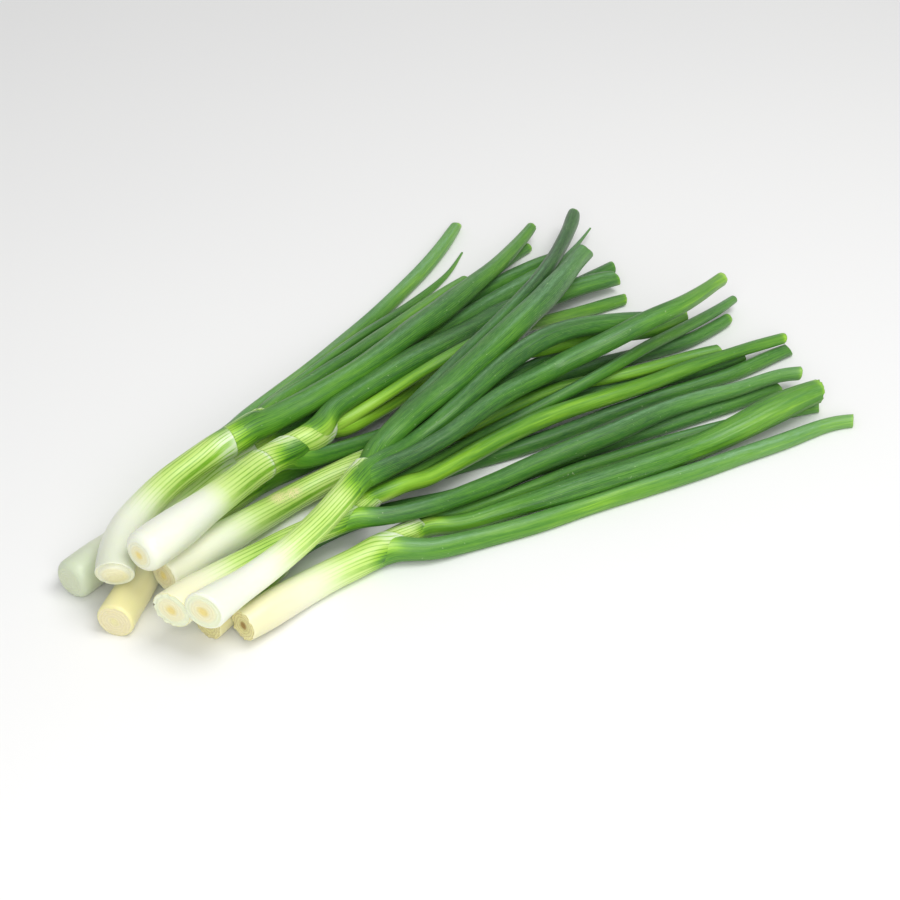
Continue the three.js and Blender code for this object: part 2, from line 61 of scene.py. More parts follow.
# One entry for each onion. A point is x, y and radius. rank says what lies over what, the higher on top.
# split is the shaft point where the pale stalk ends, at is the shaft point that a leaf leaves from,
# turn is how far the root's cut is turned from square, in degrees, and rise is a least height at the root.
ONIONS = [
    {
        "rank": 0.9, "split": 6, "turn": 0, "rise": 0,
        "shaft": [
            [-169, -95, 9.5], [-158, -81, 9.3], [-147, -67, 8.2], [-134, -49, 7.2], [-121, -31, 6.6],
            [-109, -15, 6.4], [-99, -3, 6.2], [-92, 4, 6],
        ],
        "leaves": [
            { "rank": 1.7, "at": 7, "route": [
                [-78, 14, 4.6], [-60, 28, 4.2], [-40, 46, 4.2], [-20, 64, 4], [0, 82, 4], [20, 101, 4],
                [40, 119, 4], [55, 130, 4], [70, 143, 3.9], [80, 151, 3.8], [86, 156.5, 3.6],
            ] },
            { "rank": 1.75, "at": 7, "route": [
                [-80, 22, 4], [-66, 40, 4], [-50, 60, 4], [-32, 84, 4], [-15, 106, 3.8], [0, 124, 3.6],
                [13, 141, 3.4], [25, 156, 3.2], [34, 168, 3.1], [41.5, 176, 2.9],
            ] },
            { "rank": 1.8, "at": 7, "route": [
                [-77, 24, 4.4], [-60, 45, 4.4], [-42, 67, 4.4], [-25, 88, 4.4], [-8, 106, 4.5], [8, 124, 4.5],
                [22, 138, 4.4], [36, 150, 4.2], [48, 160, 3.8], [58, 167, 3],
            ] },
            { "rank": 1.9, "at": 7, "route": [
                [-76, 20, 4.6], [-58, 38, 4.6], [-40, 58, 4.6], [-22, 79, 4.6], [-5, 97, 4.6], [10, 112, 4.7],
                [22, 124, 4.7], [33, 135, 4.5], [45, 147, 4.2], [57, 158, 3.6], [62, 163, 3],
            ] },
        ],
    },
    {
        "rank": 4, "split": 7, "turn": 0, "rise": 26,
        "shaft": [
            [-149.5, -91, 8.6], [-150, -80, 8.6], [-149.5, -69, 8.3], [-146.5, -55, 7.8], [-140.5, -40.5, 7.2],
            [-131.5, -24.5, 6.9], [-121, -10.5, 6.8], [-112, 0, 6.9], [-104.5, 7.5, 7.1], [-97, 15.5, 7.1],
            [-91.5, 23, 6.4],
        ],
        "leaves": [
            { "rank": 4.1, "at": 8, "route": [
                [-99, 23, 4.8], [-93, 33, 4.2], [-86, 42.5, 4], [-76, 56, 3.9], [-66, 70, 3.9], [-56, 84.5, 3.9],
                [-45, 101, 3.9], [-35, 117, 3.9], [-24.7, 135, 3.8], [-14.6, 154, 3.7], [-5, 175, 3.5],
                [1.5, 192, 3.1], [3.3, 197.5, 2.8],
            ] },
            { "rank": 4.2, "at": 10, "route": [
                [-84, 42, 3], [-74, 56, 2.5], [-64, 70, 2.5], [-54, 83, 2.5], [-42, 98, 2.4], [-30, 111, 2.3],
                [-18, 125, 2.2], [-8, 139, 1.8], [0, 153, 1.2], [6.5, 171, 0.5],
            ] },
            { "rank": 4.3, "at": 10, "route": [
                [-81, 41, 3.8], [-70, 53.5, 3.4], [-60, 65, 3.4], [-50, 76, 3.4], [-40, 88, 3.4], [-30, 100, 3.4],
                [-20, 112, 3.4], [-10, 124, 3.3], [0, 136, 3], [9, 146, 2.6],
            ] },
            { "rank": 4.6, "at": 9, "route": [
                [-88, 22, 6.4], [-79, 30, 5.9], [-70, 38, 5.7], [-60, 48.5, 5.5], [-50, 59.5, 5.4], [-40, 71, 5.4],
                [-30, 84, 5.7], [-20, 97.5, 6], [-10, 110, 6.3], [0.5, 124, 6.2], [12.5, 141, 5.2],
                [23, 156, 4.4], [34.5, 176, 3.6], [42, 191, 3], [44.3, 196.5, 2.7],
            ] },
        ],
    },
    {
        "rank": 5, "split": 6, "turn": 0, "rise": 0,
        "shaft": [
            [-140, -77, 9.4], [-131, -66, 9.8], [-119, -51, 8.7], [-107.5, -36, 7.6], [-97.5, -22.5, 7.2],
            [-91, -14, 7.2], [-86, -8.5, 7.2], [-79, -2, 7.2], [-72, 4.5, 7], [-64.5, 11.5, 7], [-59, 17.5, 6.4],
        ],
        "leaves": [
            { "rank": 2, "at": 7, "route": [
                [-71, -6, 5.8], [-63, -5, 4.4], [-55, -1.5, 4.1], [-45, 3.5, 4], [-35, 9, 4], [-18, 19, 4],
                [5, 30, 4], [30, 44, 4.2], [55, 57.5, 4.4], [75, 68.5, 4.3], [92, 76, 4], [106, 82, 3.9],
                [118, 88, 3.8], [128, 95.5, 3.6], [136, 102.5, 3.5], [142, 108.5, 3.2],
            ] },
            { "rank": 5.2, "at": 9, "route": [
                [-60.5, 23, 5.6], [-57, 32, 5], [-50, 40, 4.9], [-40, 51, 5.1], [-30, 61.5, 5.6], [-20, 71.5, 6],
                [-10, 81, 5.8], [0, 90, 5.6], [10, 98.7, 5.3], [20, 108.5, 5.2], [32, 118, 5.2], [50, 129, 5.1],
                [65, 137.5, 4.9], [77, 143, 4.6], [87, 147, 4],
            ] },
            { "rank": 5.3, "at": 10, "route": [
                [-52.5, 17, 5], [-46, 21, 4.2], [-38, 28.5, 4], [-30, 36.5, 4], [-20, 47, 4], [-10, 57, 4],
                [3, 67.5, 4], [16, 74, 3.8], [32, 79, 3.6], [48, 83.5, 3.6], [62, 89, 3.6], [76, 93.5, 3.6],
                [90, 96, 3.5], [103, 99, 3.5], [112, 104, 3.5], [120.5, 110.5, 3.2],
            ] },
            { "rank": 5.5, "at": 10, "route": [
                [-53, 21.5, 4], [-46, 28.5, 3.2], [-40, 34.5, 3], [-30, 45.5, 3], [-20, 56.5, 3], [-10, 67, 3],
                [0, 77, 3], [12, 88, 3], [28, 98, 3], [45, 105.5, 3.1], [60, 112, 3.2], [75, 119, 3.2],
                [85, 124, 3.2], [91, 127, 2.9],
            ] },
        ],
    },
    {
        "rank": 3, "split": 8, "turn": 0, "rise": 0,
        "shaft": [
            [-127.5, -91, 8.2], [-117.5, -80.5, 8.4], [-107, -69.5, 8], [-96, -58.5, 7.4], [-85, -48, 6.8],
            [-74, -37.5, 6.4], [-63, -27.5, 6.2], [-52, -18.7, 6.1], [-42, -11, 6], [-33, -4.5, 5.6],
        ],
        "leaves": [
            { "rank": 3.05, "at": 9, "route": [
                [-22, 4, 4.4], [-7, 17, 4], [7, 31, 4], [18, 44, 4.2], [29, 56, 4.4], [42, 67, 4.2], [56, 77, 3.9],
                [69, 85, 3.7], [80, 91, 3.3],
            ] },
            { "rank": 3.2, "at": 9, "route": [
                [-20, 1, 4.2], [-8, 6.5, 3.5], [4, 12.5, 3.1], [12, 17.5, 3], [20, 25, 3], [30, 33, 3],
                [42, 42, 3], [55, 50, 3], [68, 55, 3], [80, 58.5, 3], [92, 63, 3], [105, 69, 3], [118, 75, 2.9],
                [129, 79.5, 2.9], [136.5, 82.5, 2.7],
            ] },
        ],
    },
    {
        "rank": 1, "split": 7, "turn": 0, "rise": 0,
        "shaft": [
            [-146, -121.5, 8.5], [-142.5, -109, 8.3], [-138.5, -97, 8], [-134.5, -84.5, 7.2], [-127, -71, 6.6],
            [-117.5, -58, 6.2], [-107, -45, 6], [-97, -33, 5.6], [-88, -24, 5.2],
        ],
        "leaves": [
            { "rank": 1.4, "at": 8, "route": [
                [-72, -14, 4.2], [-60, -5.5, 4], [-46, 1, 4], [-30, 7, 4], [-12, 13, 4], [8, 20, 4], [28, 28, 4],
                [46, 35, 4], [62, 41.5, 4], [78, 47, 4], [94, 52.5, 4], [110, 58.5, 4], [124, 64.5, 3.9],
                [138, 71.5, 3.8], [148, 77, 3.5],
            ] },
        ],
    },
    {
        "rank": 6, "split": 7, "turn": 15, "rise": 0,
        "shaft": [
            [-122, -114, 9], [-113.5, -104, 8.4], [-105, -96, 7.8], [-96, -87, 6.9], [-87, -79, 6.4],
            [-77, -70.5, 6.2], [-66, -62.5, 6.2], [-56, -56, 6.2], [-48, -50, 6], [-41, -42, 5], [-35.5, -35.5, 4.5],
        ],
        "leaves": [
            { "rank": 6.1, "at": 8, "route": [
                [-39, -50, 4.8], [-30, -49.5, 4.2], [-20, -46.5, 4.2], [-10, -42.5, 4.3], [0, -37.5, 4.3],
                [20, -25.5, 4.7], [40, -11, 4.6], [60, 2, 4.8], [80, 14.5, 4.8], [100, 28.5, 4.3],
                [120, 39.7, 3.9], [140, 48, 3.5], [155, 56, 3.1], [166, 61, 3.2], [174, 62, 3.3],
            ] },
            { "rank": 6.3, "at": 10, "route": [
                [-30, -29, 3.6], [-20, -20.5, 3.2], [-10, -11.5, 3.1], [0, -2.5, 3.1], [10, 6.5, 3.1],
                [20, 15, 3.1], [40, 31, 3.2], [60, 48, 3.2], [75, 61.5, 3.2], [88, 74, 3.2], [102, 87, 3.2],
                [115, 97.5, 3.1], [130, 110, 3], [140, 119.3, 2.7], [147, 127, 2.2],
            ] },
            { "rank": 6.5, "at": 10, "route": [
                [-28.5, -32.5, 4.2], [-20, -27.5, 4.1], [-10, -20.7, 4.3], [0, -12.2, 4.5], [10, -3.5, 4.7],
                [20, 5.3, 4.7], [40, 21.3, 4.9], [60, 33.5, 4.6], [80, 43.7, 4.3], [100, 54.5, 4.1],
                [120, 67.2, 3.8], [140, 78, 3], [155, 85.5, 3], [169, 92, 2.8],
            ] },
        ],
    },
    {
        "rank": 1.2, "split": 3, "turn": 0, "rise": 0,
        "shaft": [
            [-105.5, -123, 7.6], [-97.5, -113, 7], [-89.5, -102.5, 6.4], [-82, -92, 5.8], [-75.5, -82, 5.2],
        ],
        "leaves": [
            { "rank": 1.6, "at": 4, "route": [
                [-67, -71, 4.2], [-54, -60, 3.9], [-38, -50, 3.8], [-20, -43, 3.8], [0, -36.5, 3.8],
                [20, -26.5, 3.8], [40, -14.5, 3.8], [60, -3.5, 3.8], [80, 7, 3.8], [100, 17, 3.8],
                [120, 27, 3.7], [140, 37.5, 3.6], [153, 45.5, 3.5], [162, 51, 3.3],
            ] },
            { "rank": 2.2, "at": 4, "route": [
                [-69, -69, 4.4], [-59, -56, 4], [-47, -43, 4], [-33, -32, 4], [-18, -23, 4], [-5, -16.5, 3.9],
                [8, -10, 3.9], [22, -3.7, 3.9], [40, 5, 3.9], [60, 16.5, 3.9], [80, 29.5, 3.7], [100, 41, 3.4],
                [120, 51, 3.4], [138, 60, 3.6], [150, 68, 3.7], [161, 76, 3.6], [171, 82.5, 3.3],
            ] },
        ],
    },
    {
        "rank": 7, "split": 8, "turn": 15, "rise": 0,
        "shaft": [
            [-108, -115, 9.2], [-100, -106, 8], [-92, -97.5, 7], [-84, -88.5, 6.6], [-75, -77, 6.3],
            [-67, -65.5, 6.2], [-60, -54.5, 6.1], [-54, -43.5, 6.1], [-48.5, -33, 6.2], [-43.5, -23, 6.4],
            [-39, -14, 6.2],
        ],
        "leaves": [
            { "rank": 7.1, "at": 10, "route": [
                [-34, 4, 3.2], [-21, 26, 2.6], [-9, 45, 2.4], [4, 65, 2.4], [16, 86, 2.3], [28, 107, 2.3],
                [40, 129, 2.2], [50, 146.5, 2.1], [60, 163.5, 1.8], [68, 178, 1.1], [76, 195, 0.5],
            ] },
            { "rank": 7.2, "at": 10, "route": [
                [-37, 0, 3.8], [-29, 17, 3.1], [-20.5, 32.5, 3], [-12.5, 46, 3], [-3.5, 61, 3], [5.5, 76, 3],
                [15, 91.5, 3], [25, 107.5, 3.1], [35, 125, 3.2], [45, 143, 3.3], [53.5, 162, 3.4],
                [59.5, 178, 3.4], [64, 193, 3.5], [67, 205, 3.6], [67.8, 209.5, 3.1],
            ] },
            { "rank": 7.4, "at": 10, "route": [
                [-36.5, -4, 5.4], [-33, 5, 5.2], [-26.5, 15.5, 5.3], [-18, 28.5, 5.5], [-9, 40.5, 5.6],
                [0, 52, 5.7], [10, 67.5, 5.8], [20, 82.5, 5.8], [31, 100, 5.8], [40, 114, 5.7], [48, 127, 5.6],
                [56, 141, 5.1], [62, 153, 4.5], [67.5, 164, 4.2], [72.5, 173, 4],
            ] },
            { "rank": 7.8, "at": 9, "route": [
                [-36, -18, 5.4], [-28, -12, 4.7], [-19, -5.5, 4.4], [-9, 3.5, 4.4], [0, 12.5, 4.5], [10, 25, 4.6],
                [20, 37.3, 4.8], [30, 47.5, 4.9], [40, 56, 4.9], [50, 64.5, 5], [60, 73.3, 5], [80, 89.5, 5],
                [100, 106.5, 4.9], [110, 114.3, 4.6], [120, 122, 4.2], [130, 131.8, 3.7], [137, 139.5, 3.3],
                [142.5, 145.5, 3.4],
            ] },
            { "rank": 7.6, "at": 9, "route": [
                [-34, -10, 5.6], [-23, 0, 4.9], [-11, 14, 4.6], [0, 29, 4.5], [10, 44, 4.6], [20, 59.5, 4.8],
                [30, 73, 4.9], [40, 84.5, 4.9], [50, 93.5, 4.9], [60, 99.5, 4.8], [72, 103.5, 4.7],
                [85, 106, 4.6], [97, 107.5, 4.4], [107, 108.5, 4],
            ] },
        ],
    },
    {
        "rank": 5, "split": 5, "turn": 0, "rise": 0,
        "shaft": [
            [-90, -124, 7.4], [-81, -115.5, 8], [-72, -107, 7.8], [-62, -98, 7.4], [-51, -89, 7],
            [-40, -80.5, 7], [-31, -72.5, 7.2], [-22, -64, 6], [-14, -57, 4.9],
        ],
        "leaves": [
            { "rank": 5.1, "at": 6, "route": [
                [-21, -72.5, 5.4], [-10, -73, 4.6], [1, -70, 4.4], [11, -66.5, 4.1], [21, -62.5, 4],
                [40, -54.3, 4], [60, -43.5, 4], [80, -33.5, 4], [100, -24, 3.9], [120, -14.5, 3.6],
                [140, -3.5, 3.5], [160, 7, 3.4], [180, 18.5, 3], [190, 22.3, 2.8], [195.5, 23, 2.7],
            ] },
            { "rank": 5.3, "at": 8, "route": [
                [-4, -51, 3.4], [8, -45.5, 3.1], [20, -38.5, 3.1], [40, -27.3, 3.2], [60, -15, 3.2], [80, -5, 3.2],
                [100, 4.5, 3.2], [120, 13.5, 3.2], [140, 21.5, 3.2], [160, 28.5, 3.2], [172, 32.3, 3.1],
                [180.5, 34.5, 2.9],
            ] },
            { "rank": 5.6, "at": 8, "route": [
                [-5, -56, 4.2], [6, -54.5, 3.9], [20, -47.8, 4], [40, -38.3, 4.5], [60, -28, 4.9], [80, -18, 5],
                [100, -8, 5.2], [120, 3.5, 5.5], [135, 14, 6], [150, 26, 6.4], [162, 35, 6.4], [172, 42, 5.8],
                [181, 47, 5.2],
            ] },
        ],
    },
]

# Onions that pass each other without touching, by their place in the list.
CLEAR_OF_EACH_OTHER = [(1, 4)]

# The looks of each stalk. warm is cream in its flesh, the cool share is a darker blue-white, partly a cool tint
# and partly painted shade (most on the first onion, whose stalk lies in shade), white and veined are where
# along it the white ends and the veins are full, lime is how yellow-green it gets. face is how its root
# was cut, with how far the cut's edge is rounded, how ragged it is and, as nod, how many degrees it is
# turned down. A collar is the rim of one leaf's sheath: where it crosses the middle line, its tilt in
# degrees, the leaf that rises from it, the way that leaf faces, how far back the leaf's green reaches and
# how much the veins curl. A scar is a pale dry spot: its place along, its length, its width in radians and
# the way it faces.
STALKS = [
    # The first onion's large cool share paints its stalk in shade.
    dict(warm=0.35, cool_and_shade=0.80, white=0.45, veined=0.80, lime=0.60, face="plain", edge=4.0, ragged=0.05,
         collars=[(108, 15, 3, None, 24, 0.5), (120, 20, 0, None, 24, 0.5)], scars=[]),
    dict(warm=0.20, cool_and_shade=0.35, white=0.24, veined=0.66, lime=0.80, face="stepped", edge=0.6, ragged=0.30, nod=24,
         collars=[(105, 8, 0, 170, 20, 0.5), (123, 35, 3, 45, 22, 0.5)], scars=[]),
    dict(warm=0.12, cool_and_shade=0.05, white=0.34, veined=0.52, lime=0.80, face="clean", edge=4.2, ragged=0.06,
         collars=[(91, 2, None, 0, 0, 0), (112, 38, 0, -12, 20, 0.6), (137, 32, 1, 135, 10, 0.2)], scars=[]),
    dict(warm=0.30, cool_and_shade=0.0, white=0.24, veined=0.60, lime=0.85, face="peach", edge=1.2, ragged=0.25,
         collars=[(132, 30, 1, 20, 16, 0.6)], scars=[(74, 5.0, 0.50, 82), (82, 4.5, 0.40, 68)]),
    dict(warm=1.00, cool_and_shade=0.0, white=0.50, veined=0.85, lime=0.70, face="cream", edge=1.5, ragged=0.14,
         collars=[(117, 20, 0, None, 24, 0.5)], scars=[]),
    dict(warm=0.60, cool_and_shade=0.0, white=0.10, veined=0.46, lime=0.90, face="cored", edge=0.4, ragged=1.25,
         collars=[(104, 43, 0, -30, 16, 0.7), (117.6, 12, 2, 100, 12, 0.4)], scars=[]),
    dict(warm=0.90, cool_and_shade=0.0, white=0.30, veined=0.70, lime=0.80, face="brown", edge=0.4, ragged=0.80,
         collars=[(50, 20, 1, None, 20, 0.5)], scars=[]),
    dict(warm=0.15, cool_and_shade=0.05, white=0.32, veined=0.60, lime=0.72, face="cored", edge=1.4, ragged=0.06,
         collars=[(118.7, 36, 4, 22, 22, 0.4)], scars=[]),
    dict(warm=0.75, cool_and_shade=0.0, white=0.34, veined=0.78, lime=0.85, face="brown", edge=0.3, ragged=0.80,
         collars=[(90, 43, 0, -50, 14, 1.0), (103.3, 6, 2, -20, 10, 0.6)], scars=[]),
]

# Ways that a leaf is coloured: green at its root, middle and tip, from pale to deepest, and waxy bloom
# with painted sheen along it and at its tip.
LEAF_LOOKS = {
    "deep": dict(root=0.72, middle=0.82, tip=0.74, bloom_and_sheen=0.22, wax_and_sheen=0.30),
    "waxy": dict(root=0.76, middle=0.76, tip=0.66, bloom_and_sheen=0.30, wax_and_sheen=0.60),
    "mid": dict(root=0.66, middle=0.73, tip=0.64, bloom_and_sheen=0.25, wax_and_sheen=0.40),
    "fresh": dict(root=0.64, middle=0.70, tip=0.58, bloom_and_sheen=0.15, wax_and_sheen=0.30),
    "broad": dict(root=0.66, middle=0.77, tip=0.70, bloom_and_sheen=0.15, wax_and_sheen=0.90),
    "turning": dict(root=0.82, middle=0.77, tip=0.56, bloom_and_sheen=0.30, wax_and_sheen=0.30),
    "dark_tip": dict(root=0.74, middle=0.86, tip=0.88, bloom_and_sheen=0.25, wax_and_sheen=0.30),
    "lime": dict(root=0.42, middle=0.56, tip=0.62, bloom_and_sheen=0.05, wax_and_sheen=0.10),
    "lime_long": dict(root=0.42, middle=0.53, tip=0.60, bloom_and_sheen=0.08, wax_and_sheen=0.15),
    "pale": dict(root=0.60, middle=0.60, tip=0.58, bloom_and_sheen=0.60, wax_and_sheen=0.80),
}

# The look of each leaf in the routes' order, with how far its section is flattened and how ridged it is.
LEAVES = [
    [("deep", 0.05, 0.0), ("mid", 0.04, 0.0), ("deep", 0.05, 0.0), ("waxy", 0.06, 0.0)],
    [("pale", 0.05, 0.0), ("mid", 0.08, 0.2), ("fresh", 0.10, 0.3), ("mid", 0.10, 0.4)],
    [("deep", 0.04, 0.0), ("deep", 0.10, 0.2), ("lime", 0.06, 0.2), ("lime", 0.06, 0.2)],
    [("deep", 0.04, 0.0), ("lime_long", 0.06, 0.1)],
    [("deep", 0.04, 0.0)],
    [("waxy", 0.05, 0.1), ("mid", 0.05, 0.1), ("lime", 0.10, 0.3)],
    [("deep", 0.05, 0.0), ("deep", 0.06, 0.1)],
    [("waxy", 0.04, 0.2), ("dark_tip", 0.08, 0.2), ("broad", 0.16, 0.1), ("turning", 0.05, 0.2),
     ("deep", 0.06, 0.2)],
    [("pale", 0.04, 0.0), ("mid", 0.05, 0.1), ("fresh", 0.08, 1.0)],
]


def smooth_route(points):
    """Evenly spaced points on a smooth curve through a route, with the radius as the third column."""
    corners = np.array(points, float)
    spans = len(corners) - 1
    before = 2 * corners[0] - corners[1]
    after = 2 * corners[-1] - corners[-2]
    knots = np.vstack([before, corners, after])

    def at(t):
        place = np.clip(t, 0, 1) * spans
        i = np.minimum(place.astype(int), spans - 1)
        w = (place - i)[:, None]
        a, b, c, d = knots[i], knots[i + 1], knots[i + 2], knots[i + 3]
        return 0.5 * (2 * b + (c - a) * w + (2 * a - 5 * b + 4 * c - d) * w**2 + (3 * b - a - 3 * c + d) * w**3)

    t = np.linspace(0, 1, CURVE_DIVISIONS + 1)
    arc = np.append(0, np.cumsum(np.linalg.norm(np.diff(at(t), axis=0), axis=1)))
    count = max(2, round(arc[-1] / STEP))
    return at(np.interp(np.linspace(0, arc[-1], count + 1), arc, t))


def nearest(points, place):
    return int(np.argmin(np.hypot(points[:, 0] - place[0], points[:, 1] - place[1])))


def sample_bunch():
    """Every stem and leaf as a chain of samples. A leaf's chain starts with the stem that it grows from."""
    samples = []
    chains = []

    def add_samples(points, rank, owner, leaf, least):
        first = len(samples)
        for i, point in enumerate(points):
            run = 0 if leaf < 0 else (i + 1) * STEP
            rise = least if i < len(points) / 4 else 0
            samples.append((*point, rank, owner, leaf, run, rise))
        return list(range(first, len(samples)))

    for owner, onion in enumerate(ONIONS):
        shaft_points = smooth_route(onion["shaft"])
        shaft = add_samples(shaft_points, onion["rank"], owner, -1, onion["rise"])
        chains.append(dict(owner=owner, leaf=-1, ids=shaft, joint=0))
        for number, leaf in enumerate(onion["leaves"]):
            root = onion["shaft"][leaf["at"]]
            joint = nearest(shaft_points, root)
            whole = smooth_route([onion["shaft"][leaf["at"] - 1], root] + leaf["route"])
            own = add_samples(whole[nearest(whole, root) + 1:], leaf["rank"], owner, number, 0)
            chains.append(dict(owner=owner, leaf=number, ids=shaft[:joint + 1] + own, joint=joint))
    return np.array(samples, float), chains


def contacts(floor, sight, radius, rank, owner, leaf, run):
    """Where one sample covers another in the view, and how much nearer to the eye it has to lie."""
    same = owner[:, None] == owner[None, :]
    allowed = rank[None, :] < rank[:, None]
    apart_on_one = (leaf[:, None] != leaf[None, :]) & (np.minimum(run[:, None], run[None, :]) >= SHARED_ROOT)
    allowed &= ~same | apart_on_one
    for pair in CLEAR_OF_EACH_OTHER:
        ours = np.isin(owner, pair)
        allowed &= same | ~(ours[:, None] & ours[None, :])
    offset = floor[:, None, :] - floor[None, :, :]
    along = np.einsum("ijk,ik->ij", offset, sight)
    across = np.sqrt(np.maximum(0, (offset**2).sum(2) - along**2))
    apart = radius[:, None] + radius[None, :] + CLEARANCE
    upper, lower = np.nonzero(allowed & (across < apart))
    need = np.sqrt(apart[upper, lower]**2 - across[upper, lower]**2) - along[upper, lower]
    return upper, lower, need


def bend_chain(ids, stiffness, bound, raised):
    """Bends a chain over what holds it up: it falls away as its stiffness allows and bridges hollows."""
    gap = (np.arange(len(ids))[:, None] - np.arange(len(ids))[None, :]) * STEP
    softer = np.minimum(stiffness[ids][:, None], stiffness[ids][None, :])
    humps = (bound[ids][None, :] - gap**2 * softer).max(1)
    padded = np.pad(humps, SETTLE_REACH, mode="edge")
    window = 2 * SETTLE_REACH + 1
    bridged = np.convolve(padded, np.ones(window) / window, mode="valid")
    np.maximum.at(raised, ids, np.maximum(humps, bridged))


def to_bunch(points):
    """Turns and shifts points of the routed floor into the bunch's own frame."""
    c, s = math.cos(TURN), math.sin(TURN)
    x = points[..., 0] * c - points[..., 1] * s - MIDDLE[0]
    y = points[..., 0] * s + points[..., 1] * c - MIDDLE[1]
    return np.stack([x, y, points[..., 2] - SETTLE_INTO_SURFACE], -1)


def view_point():
    return np.array([0, -math.cos(VIEW_ELEVATION), math.sin(VIEW_ELEVATION)]) * VIEW_DISTANCE


def lay_bunch():
    """Lays every sample on the surface or on what lies under it, by moving it along its line of sight."""
    samples, chains = sample_bunch()
    radius, rank, owner, leaf, run, rise = samples[:, 2:].T
    floor = np.column_stack([samples[:, :2], np.zeros(len(samples))])
    sight = view_point() - floor
    sight /= np.linalg.norm(sight, axis=1)[:, None]
    lowest = np.maximum(radius, rise) / sight[:, 2]
    upper, lower, need = contacts(floor, sight, radius, rank, owner, leaf, run)
    stiffness = np.where(leaf < 0, 1 / (2 * SHAFT_BEND), 1 / (2 * LEAF_BEND))
    nearness = lowest.copy()
    for _ in range(SETTLE_SWEEPS):
        bound = lowest.copy()
        np.maximum.at(bound, upper, nearness[lower] + need)
        raised = bound.copy()
        for chain in chains:
            bend_chain(np.array(chain["ids"]), stiffness, bound, raised)
        moved = np.abs(raised - nearness).max()
        nearness = raised
        if moved < SETTLED:
            break
    return to_bunch(floor + sight * nearness[:, None]), radius, run, chains


def smooth_steps(values, passes):
    for _ in range(passes):
        padded = np.pad(values, ((1, 1), (0, 0)), mode="edge")
        inner = 0.25 * padded[:-2] + 0.5 * padded[1:-1] + 0.25 * padded[2:]
        values = np.vstack([values[:1], inner[1:-1], values[-1:]])
    return values


class Path:
    """A smoothed middle line: places, radii, arc length and the directions of its sections."""

    def __init__(self, places, radii, ring):
        line = smooth_steps(np.column_stack([places, radii]), 2)
        knots = np.vstack([2 * line[0] - line[1], line, 2 * line[-1] - line[-2]])
        t = np.linspace(0, len(line) - 1, 8 * (len(line) - 1) + 1)
        i = np.minimum(t.astype(int), len(line) - 2)
        w = (t - i)[:, None]
        a, b, c, d = knots[i], knots[i + 1], knots[i + 2], knots[i + 3]
        dense = 0.5 * (2 * b + (c - a) * w + (2 * a - 5 * b + 4 * c - d) * w**2 + (3 * b - a - 3 * c + d) * w**3)
        arc = np.append(0, np.cumsum(np.linalg.norm(np.diff(dense[:, :3], axis=0), axis=1)))
        self.length = arc[-1]
        count = max(8, round(self.length / ring))
        self.arc = np.linspace(0, self.length, count + 1)
        self.line = np.column_stack([np.interp(self.arc, arc, dense[:, k]) for k in range(4)])
        self.knot_arc = np.interp(np.arange(len(line)), t, arc)

    def at(self, arc):
        """Places, radii, headings, sides and rises at arc lengths, straight on past the ends."""
        arc = np.asarray(arc, float)
        inside = np.clip(arc, 0, self.length)
        spots = np.column_stack([np.interp(inside, self.arc, self.line[:, k]) for k in range(4)])
        reach = 2.5
        ahead = np.clip(arc + reach, 0, self.length)
        behind = np.clip(arc - reach, 0, self.length)
        first = np.column_stack([np.interp(behind, self.arc, self.line[:, k]) for k in range(3)])
        last = np.column_stack([np.interp(ahead, self.arc, self.line[:, k]) for k in range(3)])
        heading = last - first
        heading /= np.linalg.norm(heading, axis=1)[:, None]
        side = np.cross(heading, (0, 0, 1))
        side /= np.linalg.norm(side, axis=1)[:, None]
        rise = np.cross(side, heading)
        place = spots[:, :3] + heading * (arc - inside)[:, None]
        return place, spots[:, 3], heading, side, rise


def waves(rng, count, longest):
    """Random sines over a tube: how often each goes round, its wavelength along, phases and weight."""
    return [
        (rng.integers(0, 4), longest * rng.uniform(0.4, 1), rng.uniform(0, 2 * math.pi, 2), rng.uniform(0.4, 1))
        for _ in range(count)
    ]


def wave_sum(parts, angle, arc):
    total = 0
    for around, length, phase, weight in parts:
        total = total + weight * np.cos(around * angle + phase[0]) * np.sin(2 * math.pi * arc / length + phase[1])
    return total / math.sqrt(len(parts))


def ring_points(path, arc, angle, radius):
    """Points of rings round a path. arc, angle and radius are grids of rings by sides."""
    rings, sides = angle.shape
    place, _, heading, side, rise = path.at(arc.ravel())
    shape = (rings, sides, 3)
    place, heading, side, rise = (v.reshape(shape) for v in (place, heading, side, rise))
    return place + radius[..., None] * (np.cos(angle)[..., None] * side + np.sin(angle)[..., None] * rise)


